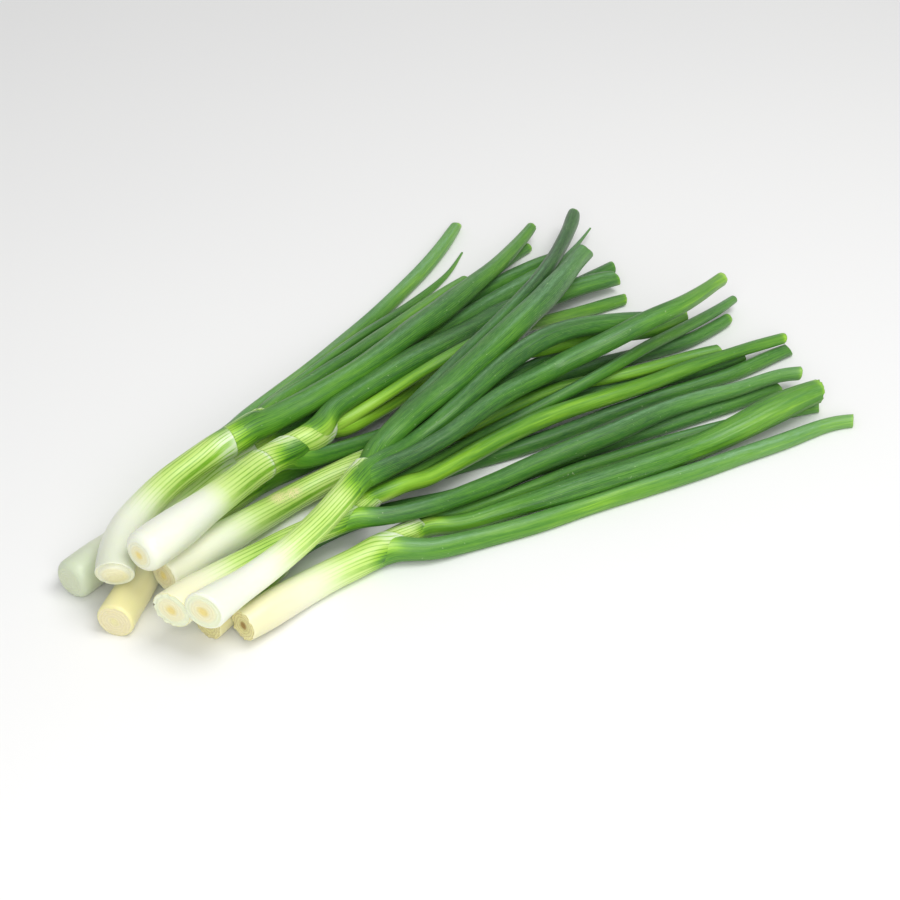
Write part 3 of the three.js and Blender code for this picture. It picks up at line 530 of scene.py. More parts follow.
def skin(name, points, turns, along, tones, slots, materials):
    """A closed surface through rings of points, with a fan over each end and values for its materials."""
    rings, sides = points.shape[:2]
    flat = points.reshape(-1, 3)
    centres = np.array([points[0].mean(0), points[-1].mean(0)])
    flat = np.vstack([flat, centres]) * MM
    k = np.arange(sides)
    nxt = (k + 1) % sides
    base = (np.arange(rings - 1) * sides)[:, None]
    quads = np.stack([base + k, base + k + sides, base + nxt + sides, base + nxt], -1).reshape(-1, 4)
    start, end = rings * sides, rings * sides + 1
    last = (rings - 1) * sides
    tris = np.vstack([
        np.column_stack([np.full(sides, start), k, nxt]),
        np.column_stack([np.full(sides, end), last + nxt, last + k]),
    ])
    mesh = bpy.data.meshes.new(name)
    mesh.vertices.add(len(flat))
    mesh.vertices.foreach_set("co", flat.ravel())
    mesh.loops.add(quads.size + tris.size)
    mesh.loops.foreach_set("vertex_index", np.concatenate([quads.ravel(), tris.ravel()]))
    mesh.polygons.add(len(quads) + len(tris))
    starts = np.concatenate([np.arange(len(quads)) * 4, quads.size + np.arange(len(tris)) * 3])
    mesh.polygons.foreach_set("loop_start", starts)
    face_slots = np.concatenate([np.repeat(slots[:-1], sides), np.full(sides, slots[0]), np.full(sides, slots[-2])])
    mesh.polygons.foreach_set("material_index", face_slots.astype(np.int32))
    mesh.update(calc_edges=True)
    turn = np.concatenate([turns, turns[:, :1] + 1], axis=1)
    run = np.concatenate([along, along[:, :1]], axis=1)
    grain = np.stack([turn, run], -1)
    quad_uv = np.stack([grain[:-1, :-1], grain[1:, :-1], grain[1:, 1:], grain[:-1, 1:]], 2).reshape(-1, 2)
    start_uv = np.stack([grain[0, :-1], grain[0, :-1], grain[0, 1:]], 1).reshape(-1, 2)
    end_uv = np.stack([grain[-1, :-1], grain[-1, 1:], grain[-1, :-1]], 1).reshape(-1, 2)
    layer = mesh.uv_layers.new(name="grain")
    layer.data.foreach_set("uv", np.concatenate([quad_uv, start_uv, end_uv]).astype(np.float32).ravel())
    for tone, values in tones.items():
        ends = [values[0].mean(), values[-1].mean()]
        attribute = mesh.attributes.new(tone, "FLOAT", "POINT")
        attribute.data.foreach_set("value", np.concatenate([values.ravel(), ends]).astype(np.float32))
    for material in materials:
        mesh.materials.append(material)
    mesh.polygons.foreach_set("use_smooth", np.ones(len(mesh.polygons), bool))
    mesh.update()
    piece = bpy.data.objects.new(name, mesh)
    bpy.context.scene.collection.objects.link(piece)
    return piece


def ease(x):
    x = np.clip(x, 0, 1)
    return x * x * (3 - 2 * x)


def bump_at(x, width):
    return np.exp(-(x / width)**2)


# The plant's colours as seen in white light, as 8-bit values. The cool flesh is partly painted shade, and the bloom
# colour also serves for painted sheen and painted highlights.
WHITE_FLESH = (240, 244, 232)
CREAM_FLESH = (234, 227, 170)
# Darker blue-white flesh: partly a cool tint, partly painted shade.
COOL_SHADED_FLESH = (196, 209, 182)
GREENS = [
    (0.0, (234, 243, 210)), (0.10, (222, 240, 168)), (0.20, (200, 228, 128)), (0.30, (166, 210, 76)),
    (0.40, (138, 192, 46)), (0.50, (104, 160, 38)), (0.60, (80, 140, 34)), (0.70, (58, 116, 31)),
    (0.80, (42, 94, 30)), (0.90, (30, 72, 28)), (1.0, (20, 50, 24)),
]
# Pale glaucous colour: real waxy bloom, also used for painted sheen and painted highlights on leaves.
BLOOM_AND_SHEEN = (134, 178, 138)
SPECK = (190, 216, 160)
COLLAR = (214, 230, 196)
DRY = (232, 226, 164)
CORE_YELLOW = (238, 220, 140)
PLATE_CREAM = (240, 236, 196)
PLATE_BEIGE = (235, 226, 184)
# The first onion's plain cut face, a dull grey-green that goes with its painted shade.
PLATE_PLAIN = (212, 220, 190)
PLATE_RIM = (234, 240, 208)
PLATE_PALE = (238, 240, 214)
CUT_BROWN = (158, 124, 56)
VEIN_DEPTH = 0.23


def linear(colour):
    """An 8-bit colour as linear values with alpha."""
    parts = [c / 255 for c in colour]
    return tuple(c / 12.92 if c <= 0.04045 else ((c + 0.055) / 1.055)**2.4 for c in parts) + (1.0,)


class Graph:
    """Short ways to add shader nodes to one material."""

    def __init__(self, name):
        self.material = bpy.data.materials.new(name)
        self.material.use_nodes = True
        self.nodes = self.material.node_tree.nodes
        self.links = self.material.node_tree.links
        self.shader = self.nodes["Principled BSDF"]

    def feed(self, socket, value):
        if isinstance(value, bpy.types.NodeSocket):
            self.links.new(value, socket)
        else:
            socket.default_value = value

    def math(self, operation, a, b=0.0, clamp=False):
        node = self.nodes.new("ShaderNodeMath")
        node.operation = operation
        node.use_clamp = clamp
        self.feed(node.inputs[0], a)
        self.feed(node.inputs[1], b)
        return node.outputs[0]

    def mix(self, share, a, b, blend="MIX"):
        node = self.nodes.new("ShaderNodeMix")
        node.data_type = "RGBA"
        node.blend_type = blend
        self.feed(node.inputs["Factor"], share)
        self.feed(node.inputs[6], a)
        self.feed(node.inputs[7], b)
        return node.outputs[2]

    def tone(self, name):
        node = self.nodes.new("ShaderNodeAttribute")
        node.attribute_name = name
        return node.outputs["Fac"]

    def grain(self):
        node = self.nodes.new("ShaderNodeUVMap")
        node.uv_map = "grain"
        split = self.nodes.new("ShaderNodeSeparateXYZ")
        self.links.new(node.outputs["UV"], split.inputs[0])
        return split.outputs["X"], split.outputs["Y"]

    def combine(self, x, y, z):
        node = self.nodes.new("ShaderNodeCombineXYZ")
        self.feed(node.inputs[0], x)
        self.feed(node.inputs[1], y)
        self.feed(node.inputs[2], z)
        return node.outputs[0]

    def noise(self, vector, scale, detail=2.0, roughness=0.5):
        node = self.nodes.new("ShaderNodeTexNoise")
        self.feed(node.inputs["Vector"], vector)
        node.inputs["Scale"].default_value = scale
        node.inputs["Detail"].default_value = detail
        node.inputs["Roughness"].default_value = roughness
        return node.outputs["Fac"]

    def ramp(self, value, stops):
        node = self.nodes.new("ShaderNodeValToRGB")
        self.feed(node.inputs[0], value)
        elements = node.color_ramp.elements
        while len(elements) < len(stops):
            elements.new(0.5)
        for element, (place, colour) in zip(elements, stops):
            element.position = place
            element.color = colour
        return node.outputs["Color"]

    def range(self, value, low, high, to_low=0.0, to_high=1.0):
        node = self.nodes.new("ShaderNodeMapRange")
        self.feed(node.inputs["Value"], value)
        node.inputs["From Min"].default_value = low
        node.inputs["From Max"].default_value = high
        node.inputs["To Min"].default_value = to_low
        node.inputs["To Max"].default_value = to_high
        return node.outputs["Result"]

    def bump(self, height, strength, distance):
        node = self.nodes.new("ShaderNodeBump")
        node.inputs["Strength"].default_value = strength
        node.inputs["Distance"].default_value = distance
        self.links.new(height, node.inputs["Height"])
        self.links.new(node.outputs["Normal"], self.shader.inputs["Normal"])

    def object_place(self):
        return self.nodes.new("ShaderNodeTexCoord").outputs["Object"]


VEINS_ROUND = 22
LEAF_FIBRES = 44


def skin_material(name, gloss, flesh_glow):
    """The plant's skin, from white flesh to deep leaf, read from the tones that the meshes carry."""
    g = Graph(name)
    turn, run = g.grain()
    angle = g.math("MULTIPLY", turn, 2 * math.pi)
    c = g.math("COSINE", angle)
    s = g.math("SINE", angle)
    slow = g.noise(g.combine(c, s, g.math("MULTIPLY", run, 0.004)), 1.7, 1.0)
    streak = g.noise(g.combine(c, s, g.math("MULTIPLY", run, 0.010)), 4.0, 3.0, 0.6)
    fine_streak = g.noise(g.combine(c, s, g.math("MULTIPLY", run, 0.014)), 15.0, 2.0, 0.6)
    patch = g.noise(g.object_place(), 38.0, 3.0)
    speck = g.noise(g.combine(c, s, g.math("MULTIPLY", run, 0.25)), 9.0, 2.0, 0.7)

    green = g.tone("green")
    drift = g.math("MULTIPLY", g.math("SUBTRACT", streak, 0.5), g.range(green, 0.15, 0.5, 0.04, 0.42))
    blotch = g.math("MULTIPLY", g.math("SUBTRACT", patch, 0.5), g.range(green, 0.15, 0.6, 0.02, 0.16))
    level = g.math("ADD", g.math("ADD", green, drift), blotch)
    flesh = g.mix(g.tone("warm"), linear(WHITE_FLESH), linear(CREAM_FLESH))
    # Mixes in the darker blue-white flesh: a cool tint, and painted shade on the first onion.
    flesh = g.mix(g.tone("cool_and_shade"), flesh, linear(COOL_SHADED_FLESH))
    greens = [(place, linear(colour)) for place, colour in GREENS]
    colour = g.mix(g.range(level, 0.0, 0.16), flesh, g.ramp(level, greens))
    colour = g.mix(g.tone("collar"), colour, linear(COLLAR))

    warp = g.math("MULTIPLY", g.math("SUBTRACT", slow, 0.5), 0.10)
    vein_turn = g.math("MULTIPLY", g.math("ADD", turn, warp), 2 * math.pi * VEINS_ROUND)
    wave = g.math("SINE", vein_turn)
    strength = g.math("MULTIPLY", g.tone("veins"), g.range(fine_streak, 0.3, 0.55, 0.55, 1.0), clamp=True)
    line = g.math("MULTIPLY", g.range(wave, 0.25, 0.95), strength)
    vein_green = g.ramp(g.math("ADD", level, VEIN_DEPTH), greens)
    colour = g.mix(line, colour, vein_green)

    fibre = g.math("SINE", g.math("MULTIPLY", turn, 2 * math.pi * LEAF_FIBRES))
    fibre_share = g.math("MULTIPLY", g.range(green, 0.45, 0.6), g.range(fine_streak, 0.42, 0.62, 0.0, 0.30))
    colour = g.mix(g.math("MULTIPLY", fibre_share, g.range(fibre, 0.0, 1.0)), colour, linear(GREENS[4][1]))

    # The pale glaucous mix: real waxy bloom, together with the painted sheen and painted highlight streaks that the
    # leaves carry in the same tone.
    wax_and_sheen = g.math("MULTIPLY", g.tone("bloom_and_sheen"), g.range(fine_streak, 0.35, 0.6, 0.35, 1.0))
    wax_and_sheen = g.math("MULTIPLY", wax_and_sheen, g.range(speck, 0.3, 0.55, 0.75, 1.0), clamp=True)
    colour = g.mix(wax_and_sheen, colour, linear(BLOOM_AND_SHEEN))
    dust = g.noise(g.object_place(), 620.0, 1.0)
    dust = g.math("MULTIPLY", g.range(dust, 0.73, 0.80), g.range(green, 0.5, 0.6, 0.0, 0.4))
    colour = g.mix(dust, colour, linear(SPECK))
    dry = g.math("MULTIPLY", g.tone("dry"), g.range(speck, 0.36, 0.55), clamp=True)
    colour = g.mix(dry, colour, linear(DRY))
    g.feed(g.shader.inputs["Base Color"], colour)

    rough = g.range(patch, 0.3, 0.7, gloss - 0.05, gloss + 0.08)
    rough = g.math("ADD", rough, g.math("MULTIPLY", wax_and_sheen, 0.15))
    g.feed(g.shader.inputs["Roughness"], g.math("ADD", rough, g.math("MULTIPLY", dry, 0.3)))
    height = g.math("ADD", g.math("MULTIPLY", fibre, g.range(green, 0.4, 0.6, 0.0, 0.4)), fine_streak)
    height = g.math("SUBTRACT", height, g.math("MULTIPLY", wave, g.math("MULTIPLY", g.tone("veins"), 0.15)))
    height = g.math("ADD", height, g.math("MULTIPLY", dry, 2.0))
    g.bump(height, 0.35, 0.0002)
    g.shader.inputs["IOR"].default_value = 1.42
    g.shader.inputs["Subsurface Weight"].default_value = flesh_glow
    g.shader.inputs["Subsurface Radius"].default_value = (1.0, 1.2, 0.5)
    g.shader.inputs["Subsurface Scale"].default_value = 0.003
    g.shader.inputs["Coat Weight"].default_value = 0.25
    g.shader.inputs["Coat Roughness"].default_value = 0.3
    return g.material


def cut_material(name, core, plate, rim, rings_dark):
    """A cut root end: pale rings round a core, moist, with a fibrous grain."""
    g = Graph(name)
    place = g.object_place()
    radial = g.tone("radial")
    wobble = g.math("MULTIPLY", g.math("SUBTRACT", g.noise(place, 220.0, 2.0), 0.5), 0.20)
    level = g.math("ADD", radial, wobble)
    colour = g.ramp(level, [
        (0.0, linear(core)), (0.16, linear(core)), (0.40, linear(plate)), (0.62, linear(plate)),
        (0.80, linear(rim)), (1.0, linear(rim)),
    ])
    rings = g.range(g.math("SINE", g.math("MULTIPLY", level, 34.0)), 0.1, 1.0, 0.0, rings_dark)
    colour = g.mix(rings, colour, linear(CUT_BROWN))
    grain = g.noise(place, 900.0, 3.0, 0.7)
    colour = g.mix(g.range(grain, 0.5, 0.75, 0.0, 0.06 + rings_dark), colour, linear(CUT_BROWN))
    g.feed(g.shader.inputs["Base Color"], colour)
    g.feed(g.shader.inputs["Roughness"], g.range(grain, 0.3, 0.7, 0.32, 0.5))
    g.bump(g.math("ADD", grain, g.math("SINE", g.math("MULTIPLY", level, 34.0))), 0.3, 0.0003)
    g.shader.inputs["Subsurface Weight"].default_value = 0.25
    g.shader.inputs["Subsurface Radius"].default_value = (1.0, 1.0, 0.5)
    g.shader.inputs["Subsurface Scale"].default_value = 0.003
    return g.material


class Shaft:
    """One onion's shaft: its middle line, its collars, and which way the blade of each collar leaves."""

    def __init__(self, number, bunch):
        places, radius, _, chains = bunch
        self.number = number
        self.chains = {c["leaf"]: c for c in chains if c["owner"] == number}
        ids = self.chains[-1]["ids"]
        self.path = Path(places[ids], radius[ids], STALK_RING)
        self.length = self.path.length
        self.places = places
        self.collars = []
        for arc, tilt, leaf, facing, reach, curl in STALKS[number]["collars"]:
            arc = min(arc, self.length)
            if facing is None:
                facing = self.facing(arc, self.blade(leaf))
            else:
                facing = math.radians(facing)
            tilt = math.tan(math.radians(tilt))
            collar = dict(arc=arc, tilt=tilt, facing=facing, leaf=leaf, reach=reach, curl=curl)
            if leaf is not None:
                collar["joint"] = self.path.knot_arc[self.chains[leaf]["joint"]]
            self.collars.append(collar)

    def blade(self, leaf):
        """The direction across the shaft in which a leaf leaves it."""
        chain = self.chains[leaf]
        joint = self.places[chain["ids"][chain["joint"]]]
        _, _, heading, _, _ = self.path.at([self.path.knot_arc[chain["joint"]]])
        away = self.places[chain["ids"][chain["joint"] + BLADE_SAMPLES]] - joint
        away = away - heading[0] * (away @ heading[0])
        return away / np.linalg.norm(away)

    def blade_at(self, leaf):
        """The direction in which an outer leaf's blade grows out of the shaft's skin."""
        collar = next(c for c in self.collars if c["leaf"] == leaf)
        _, _, _, side, rise = self.path.at([collar["joint"]])
        return math.cos(collar["facing"]) * side[0] + math.sin(collar["facing"]) * rise[0]

    def facing(self, arc, away):
        _, _, _, side, rise = self.path.at([arc])
        return math.atan2(away @ rise[0], away @ side[0])

    def green(self, arc, angle):
        """How green the skin is between its veins, at places along the shaft and round it."""
        looks = STALKS[self.number]
        share = arc / self.length
        rising = (share - 0.6 * looks["white"]) / (looks["veined"] - 0.6 * looks["white"])
        green = 0.29 * looks["lime"] * ease(rising)
        green = green - 0.06 * looks["lime"] * ease((share - looks["veined"]) / 0.15)
        for collar in self.collars:
            if collar["leaf"] is None:
                continue
            gap = collar["arc"] - arc
            toward = self.toward(collar, angle)
            before = ease((arc - collar["joint"]) / collar["reach"] + 1)**1.6 * (gap > -1e-6)
            green = green + (JOINT_GREEN - green) * toward * before
            beside = (gap < 0) * np.exp(np.minimum(gap, 0) / 10)
            green = green + 0.08 * toward * beside
            away = (1 - toward) * (gap > -1e-6) * np.exp(-np.maximum(gap, 0) / 9)
            green = green * (1 - 0.5 * away)
        return green

    @staticmethod
    def toward(collar, angle):
        """How much a place round the shaft is on the side where a collar's blade leaves, from 0 to 1."""
        return ease((np.cos(angle - collar["facing"]) + 0.45) / 1.15)


BLADE_SAMPLES = 6
JOINT_GREEN = 0.60
JOINT_SPREAD = 22.0
LIP = 0.4
COLLAR_SPREAD = 10.0
LAYER_SIDE = 2.1


def stalk_piece(shaft, materials):
    """The whole shaft of one onion: cut root, skin with collars, and the open mouth of its sheath."""
    number = shaft.number
    looks = STALKS[number]
    rng = np.random.default_rng(100 + number)
    path, length = shaft.path, shaft.length
    root_turn = math.tan(math.radians(ONIONS[number]["turn"]))
    root_nod = math.tan(math.radians(looks.get("nod", 0)))
    angle = (np.arange(STALK_SIDES) / STALK_SIDES) * 2 * math.pi

    def tilt_shift(at, size):
        """How far along the shaft each point of a ring is moved, for the collars' and the cut's tilt."""
        shift = (root_turn * np.cos(angle) - root_nod * np.sin(angle)) * size * bump_at(at, 11)
        for collar in shaft.collars:
            lean = np.cos(angle - collar["facing"])
            shift = shift + collar["tilt"] * size * lean * bump_at(at - collar["arc"], COLLAR_SPREAD)
        return shift

    # Rings along the shaft, closer together at the rounded cut and at each collar but the last.
    edge = looks["edge"]
    bevel = np.array([0.02, 0.1, 0.25, 0.45, 0.7, 1.0]) * edge
    stations = list(bevel) + list(np.arange(edge + STALK_RING, length - 1, STALK_RING))
    for collar in shaft.collars[:-1]:
        place = collar["arc"]
        stations = [s for s in stations if abs(s - place) > 0.7]
        stations += [place - 0.5, place - 0.12, place, place + 0.06]
    stations = np.array(sorted(stations + [length - 0.5, length - 0.1, length]))
    angles, arcs = np.meshgrid(angle, stations)
    _, base_radius, _, _, _ = path.at(stations)
    shape = np.broadcast_to(base_radius[:, None], arcs.shape).copy()
    shape *= 1 + 0.02 * wave_sum(waves(rng, 7, 60), angles, arcs)
    veined = ease((arcs / length - looks["white"]) / (looks["veined"] - looks["white"]))
    shape += 0.04 * veined * np.cos(14 * angles)
    inward = np.clip(1 - arcs / edge, 0, 1)
    shape -= edge * (1 - np.sqrt(1 - inward**2)) * 0.85
    for collar in shaft.collars:
        place = collar["arc"]
        behind = (arcs < place + 1e-3) if place < length - 1 else (arcs < place + 1)
        if collar["leaf"] is None:
            covered = np.zeros_like(arcs)
        else:
            covered = shaft.toward(collar, angles)
            dive = ease((np.minimum(arcs, place) - collar["joint"] - 1) / 7)
            shape -= 1.6 * covered * dive * np.exp(-np.maximum(arcs - place, 0) / 5)
        shape += np.where(behind, LIP * (1 - covered) * np.exp(-np.abs(place - arcs) / 9), 0)
    along = arcs + tilt_shift(arcs, shape)

    # The cut face from the middle out.
    shares = np.array([0.1, 0.24, 0.38, 0.52, 0.66, 0.78, 0.84, 0.92, 1.0])
    face_angles, face_shares = np.meshgrid(angle, shares)
    jag = sum(np.cos(k * face_angles + rng.uniform(0, 6)) / math.sqrt(k) for k in rng.integers(4, 24, 9)) / 2
    face_radius = shape[0] * face_shares - 0.12 * face_shares
    relief = -0.3 * np.cos(face_shares * math.pi / 2) + 0.06 * np.cos(face_shares * 21)
    if looks["face"] in ("cored", "clean"):
        relief = relief + 0.3 * bump_at(face_shares, 0.2)
    if looks["face"] == "stepped":
        set_back = 0.5 + 0.5 * np.cos(face_angles - LAYER_SIDE)
        relief = relief + 2.0 * ease((face_shares - 0.78) / 0.06) * (0.12 + 0.88 * set_back)
        relief = relief + 1.0 * ease((face_shares - 0.52) / 0.12) * set_back**2
        relief = relief - 0.5 * ease((0.8 - face_shares) / 0.5)
    if looks["face"] == "brown":
        relief = relief + 0.7 * bump_at(face_shares, 0.55)
    relief = relief - looks["ragged"] * 1.1 * jag * ease((face_shares - 0.72) / 0.25)
    lean = root_turn * np.cos(face_angles) - root_nod * np.sin(face_angles)
    face_arcs = relief + face_shares * shape[0] * lean
    along[0] += 0.8 * (face_arcs[-1] - along[0])
    along[1] += 0.5 * (face_arcs[-1] - 0.1 - along[0]) * (looks["ragged"] > 0.5)
    for row in range(1, 8):
        along[row] = np.maximum(along[row], along[row - 1] + 0.05)

    # The mouth of the innermost sheath.
    inner = np.array([0.0, -1.2, -3.5, -8.0])
    mouth_angles, mouth_arcs = np.meshgrid(angle, length + inner)
    mouth_radius = shape[-1] + np.array([-0.4, -0.75, -0.9, -1.6])[:, None]
    mouth_along = mouth_arcs + tilt_shift(np.full_like(mouth_arcs, length), mouth_radius)

    all_angles = np.vstack([face_angles, angles, mouth_angles])
    all_along = np.vstack([face_arcs, along, mouth_along])
    points = ring_points(path, all_along, all_angles, np.vstack([face_radius, shape, mouth_radius]))
    points[..., 2] = np.maximum(points[..., 2], 0.02)

    # Tones: how green, veined, warm, cool or in painted shade, pale at the collars, dry, and how far out on the cut
    # face.
    nominal = np.vstack([face_arcs * 0, arcs, mouth_arcs])
    share = nominal / length
    veins = 0.95 * ease((share - looks["white"]) / (looks["veined"] - looks["white"]))
    bend = np.zeros_like(nominal)
    pale = np.zeros_like(nominal)
    for collar in shaft.collars:
        gap = collar["arc"] - nominal
        before = gap > -0.01
        if collar["leaf"] is None:
            pale = np.maximum(pale, np.where(before, 0.8 * bump_at(gap - 0.6, 1.3), 0))
            continue
        toward = shaft.toward(collar, all_angles)
        reach = np.where(before, np.exp(-(np.maximum(gap, 0) / 15)**2), 0)
        bend = bend + 0.85 * collar["curl"] * np.sin(all_angles - collar["facing"]) * reach
        wide = np.where(before, 0.72 * ease((13 - gap) / 9), 0)
        rim = np.where(before, 0.95 * bump_at(gap - 0.8, 2.2), 0)
        pale = np.maximum(pale, np.maximum(wide, rim) * (1 - toward))
        veins = veins * (1 - 0.7 * np.where(before, bump_at(gap, 2.0), 0) * (1 - toward))
    pale = np.maximum(pale, 0.7 * bump_at(length - nominal, 1.0))
    dry = np.zeros_like(nominal)
    face_rows = len(shares)
    browned = ease(np.cos(angle - LAYER_SIDE - 0.2))
    dry[face_rows - 1:face_rows + 2] = looks["ragged"] * (browned if looks["face"] == "stepped" else 0.8)
    for place, reach, spread, toward in looks["scars"]:
        off = np.angle(np.exp(1j * (all_angles - math.radians(toward))))
        dry = np.maximum(dry, 1.6 * bump_at(nominal - place, reach) * bump_at(off, spread))
    radial = np.zeros_like(nominal)
    radial[:face_rows] = face_shares
    flat = np.zeros_like(nominal)
    tones = dict(
        green=np.clip(shaft.green(nominal, all_angles), 0, 0.9), veins=np.clip(veins, 0, 1),
        warm=looks["warm"] * (1 - 0.6 * ease(share / 0.5)), cool_and_shade=looks["cool_and_shade"] * (1 - ease(share / 0.4)),
        bloom_and_sheen=flat,
        collar=np.clip(pale, 0, 1), dry=dry, radial=radial,
    )
    slots = np.zeros(len(nominal), int)
    slots[:face_rows - 1] = 1
    turns = (all_angles + bend) / (2 * math.pi)
    piece = skin(f"stalk_{number + 1}", points, turns, all_along, tones, slots, materials)
    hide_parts(f"onion_{number + 1}_stalk", f"onion_{number + 1}_leaves")
    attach(piece, "root")


def leaf_line(shaft, chain, radius, run):
    """The middle line and radii of a leaf. An outer leaf grows out of the shaft's own skin."""
    joint, ids = chain["joint"], chain["ids"]
    outer = any(collar["leaf"] == chain["leaf"] for collar in shaft.collars)
    before = min(joint, OUTER_ROOT_SAMPLES if outer else INNER_ROOT_SAMPLES)
    ids = ids[joint - before:]
    places = shaft.places[ids].copy()
    radii = radius[ids].copy()
    first = radii[before + 1]
    if not outer:
        grown = np.minimum(1, INNER_ROOT_SHARE + (1 - INNER_ROOT_SHARE) * run[ids] / INNER_ROOT_DEPTH)
        radii[:before + 1] = first
        return places, np.maximum(radii * grown, FINEST_TIP), before
    away = shaft.blade_at(chain["leaf"])
    shaft_radius = radii[:before + 1].copy()
    along = np.linspace(0, 1, before + 1)
    radii[:before + 1] = (0.5 + 0.5 * along) * np.minimum(first, shaft_radius)
    proud = -0.8 + 1.1 * ease(along)
    places[:before + 1] += ((shaft_radius - radii[:before + 1] + proud)[:, None]) * away
    for i in range(before + 1, min(len(ids), before + 6)):
        lateral = (places[i] - shaft.places[ids[before]]) @ away
        kept = (shaft_radius[-1] - radii[i] + 0.3) * (1 - ease(run[ids[i]] / 22))
        places[i] += max(0.0, kept - lateral) * away
    return places, np.maximum(radii, FINEST_TIP), before


OUTER_ROOT_SAMPLES = 6
INNER_ROOT_SAMPLES = 3
INNER_ROOT_SHARE = 0.86
INNER_ROOT_DEPTH = 12.0
OPEN_TIP_RADIUS = 2.4
# The side round a leaf, up and toward the back, where painted sheen is laid into the bloom.
SHEEN_SIDE = math.radians(125)
# How strongly the painted highlight shows, a pale streak along the top of each leaf.
PAINTED_HIGHLIGHT = 0.45
FINEST_TIP = 0.5


def leaf_piece(shaft, chain, bunch, material):
    """One hollow leaf, rooted in its sheath, with a cut open tip or a fine point."""
    _, radius, run, _ = bunch
    number, leaf = shaft.number, chain["leaf"]
    look_name, flatness, ridges = LEAVES[number][leaf]
    look = LEAF_LOOKS[look_name]
    rng = np.random.default_rng(1000 + 20 * number + leaf)
    places, radii, before = leaf_line(shaft, chain, radius, run)
    path = Path(places, radii, LEAF_RING)
    length = path.length
    hidden = path.knot_arc[before]
    open_tip = radii[-1] >= OPEN_TIP_RADIUS

    close = length - np.array([6.4, 4.8, 3.4, 2.2, 1.2, 0.5, 0.0])
    stations = np.append(np.arange(0, length - 7, LEAF_RING), close)
    angle = (np.arange(LEAF_SIDES) / LEAF_SIDES) * 2 * math.pi
    angles, arcs = np.meshgrid(angle, stations)
    _, base_radius, _, _, _ = path.at(stations)
    base = base_radius[:, None]
    grown = ease((arcs - hidden) / 35)
    lean = rng.uniform(-0.4, 0.4) + 0.5 * np.sin(arcs / 90 + rng.uniform(0, 6))
    shape = base * (1 + flatness * grown * np.cos(2 * (angles - lean)))
    shape += WIDER.get((number, leaf), 0) * grown
    shape *= 1 + 0.03 * grown * wave_sum(waves(rng, 6, 70), angles, arcs)
    for _ in range(2):
        crease = rng.uniform(0.2, 2.9) + 0.25 * np.sin(arcs / 60 + rng.uniform(0, 6))
        gap = np.angle(np.exp(1j * (angles - crease)))
        shape += rng.uniform(-0.05, 0.07) * base * grown * bump_at(gap, 0.22)
    shape += 0.05 * ridges * base * grown * np.cos(13 * angles + 0.3 * np.sin(arcs / 25))
    along = arcs.copy()
    if open_tip:
        slant = rng.uniform(0.25, 0.6) * np.cos(angle - rng.uniform(0, 2 * math.pi))
        tears = 0.22 * sum(np.cos(k * angle + rng.uniform(0, 6)) / k * 2 for k in range(5, 14))
        torn = 0.35 + 1.6 * (ridges > 0.8)
        end = ease((arcs - length + 9) / 9)
        along += end * (slant * base_radius[-1] + torn * tears)[None, :] - end * 0.6

    all_angles, all_along, all_radius = angles, along, shape
    if open_tip:
        depth = np.array([0.15, 1.0, 3.0, 7.0, 14.0, 24.0])
        inner_angles, inner_depth = np.meshgrid(angle, depth)
        wall = np.array([0.4, 0.7, 0.75, 0.8, 0.9, 1.4])[:, None]
        all_angles = np.vstack([angles, inner_angles])
        all_along = np.vstack([along, along[-1][None, :] - inner_depth])
        all_radius = np.vstack([shape, np.maximum(shape[-1][None, :] - wall, 0.3)])
    points = ring_points(path, all_along, all_angles, all_radius)
    points[..., 2] = np.maximum(points[..., 2], 0.02)

    grow = all_along - hidden
    share = np.clip(grow / (length - hidden), 0, 1)
    late = np.clip((share - 0.45) / 0.55, 0, 1)
    green = look["root"] + (look["middle"] - look["root"]) * ease(np.minimum(1, share / 0.45))
    green = green + (look["tip"] - look["middle"]) * ease(late)
    rooted = ease((grow + 2) / JOINT_SPREAD)
    green = np.minimum(green, JOINT_GREEN + (green - JOINT_GREEN) * rooted)
    if before == OUTER_ROOT_SAMPLES:
        green = np.where(grow < JOINT_SPREAD, JOINT_GREEN + (green - JOINT_GREEN) * rooted, green)
        start = 0.25
        reach = next(c["reach"] for c in shaft.collars if c["leaf"] == leaf)
        ahead = start + (JOINT_GREEN - start) * ease(grow / reach + 1)**1.6
        green = np.where(grow < 0, ahead, green)
        collar = next(c for c in shaft.collars if c["leaf"] == leaf)
        kept = np.maximum(shaft.toward(collar, all_angles), ease((grow - 2) / 14))
        green = 0.3 + (green - 0.3) * kept
    green = green - 0.2 * bump_at(length - all_along, 1.6) * open_tip
    veins = 0.75 * ease((16 - grow) / 24)
    upness = np.sin(all_angles)
    # Bloom that grows toward the tip, partly real waxy bloom and partly painted sheen, kept mostly on the upper back
    # side of the leaf.
    bloom_and_sheen = (look["bloom_and_sheen"] + (look["wax_and_sheen"] - look["bloom_and_sheen"]) * ease(late * 1.3)) * ease(grow / 14)
    behind = ease((np.cos(all_angles - SHEEN_SIDE) - 0.1) / 0.9)
    bloom_and_sheen = bloom_and_sheen * (0.12 + 0.75 * np.maximum(behind, 0.6 * ease(late)))
    bloom_and_sheen = bloom_and_sheen * (0.75 + 0.25 * np.sin(all_along / 37 + rng.uniform(0, 6)))
    # Painted highlight: a narrow pale streak along the top of the leaf, laid into the bloom tone.
    highlight_side = rng.uniform(1.1, 1.7) + 0.2 * np.sin(all_along / 60 + rng.uniform(0, 6))
    painted_highlight = bump_at(all_angles - highlight_side, 0.17) * ease(grow / 20)
    bloom_and_sheen = bloom_and_sheen + PAINTED_HIGHLIGHT * painted_highlight * (0.6 + 0.4 * np.sin(all_along / 26 + rng.uniform(0, 6)))
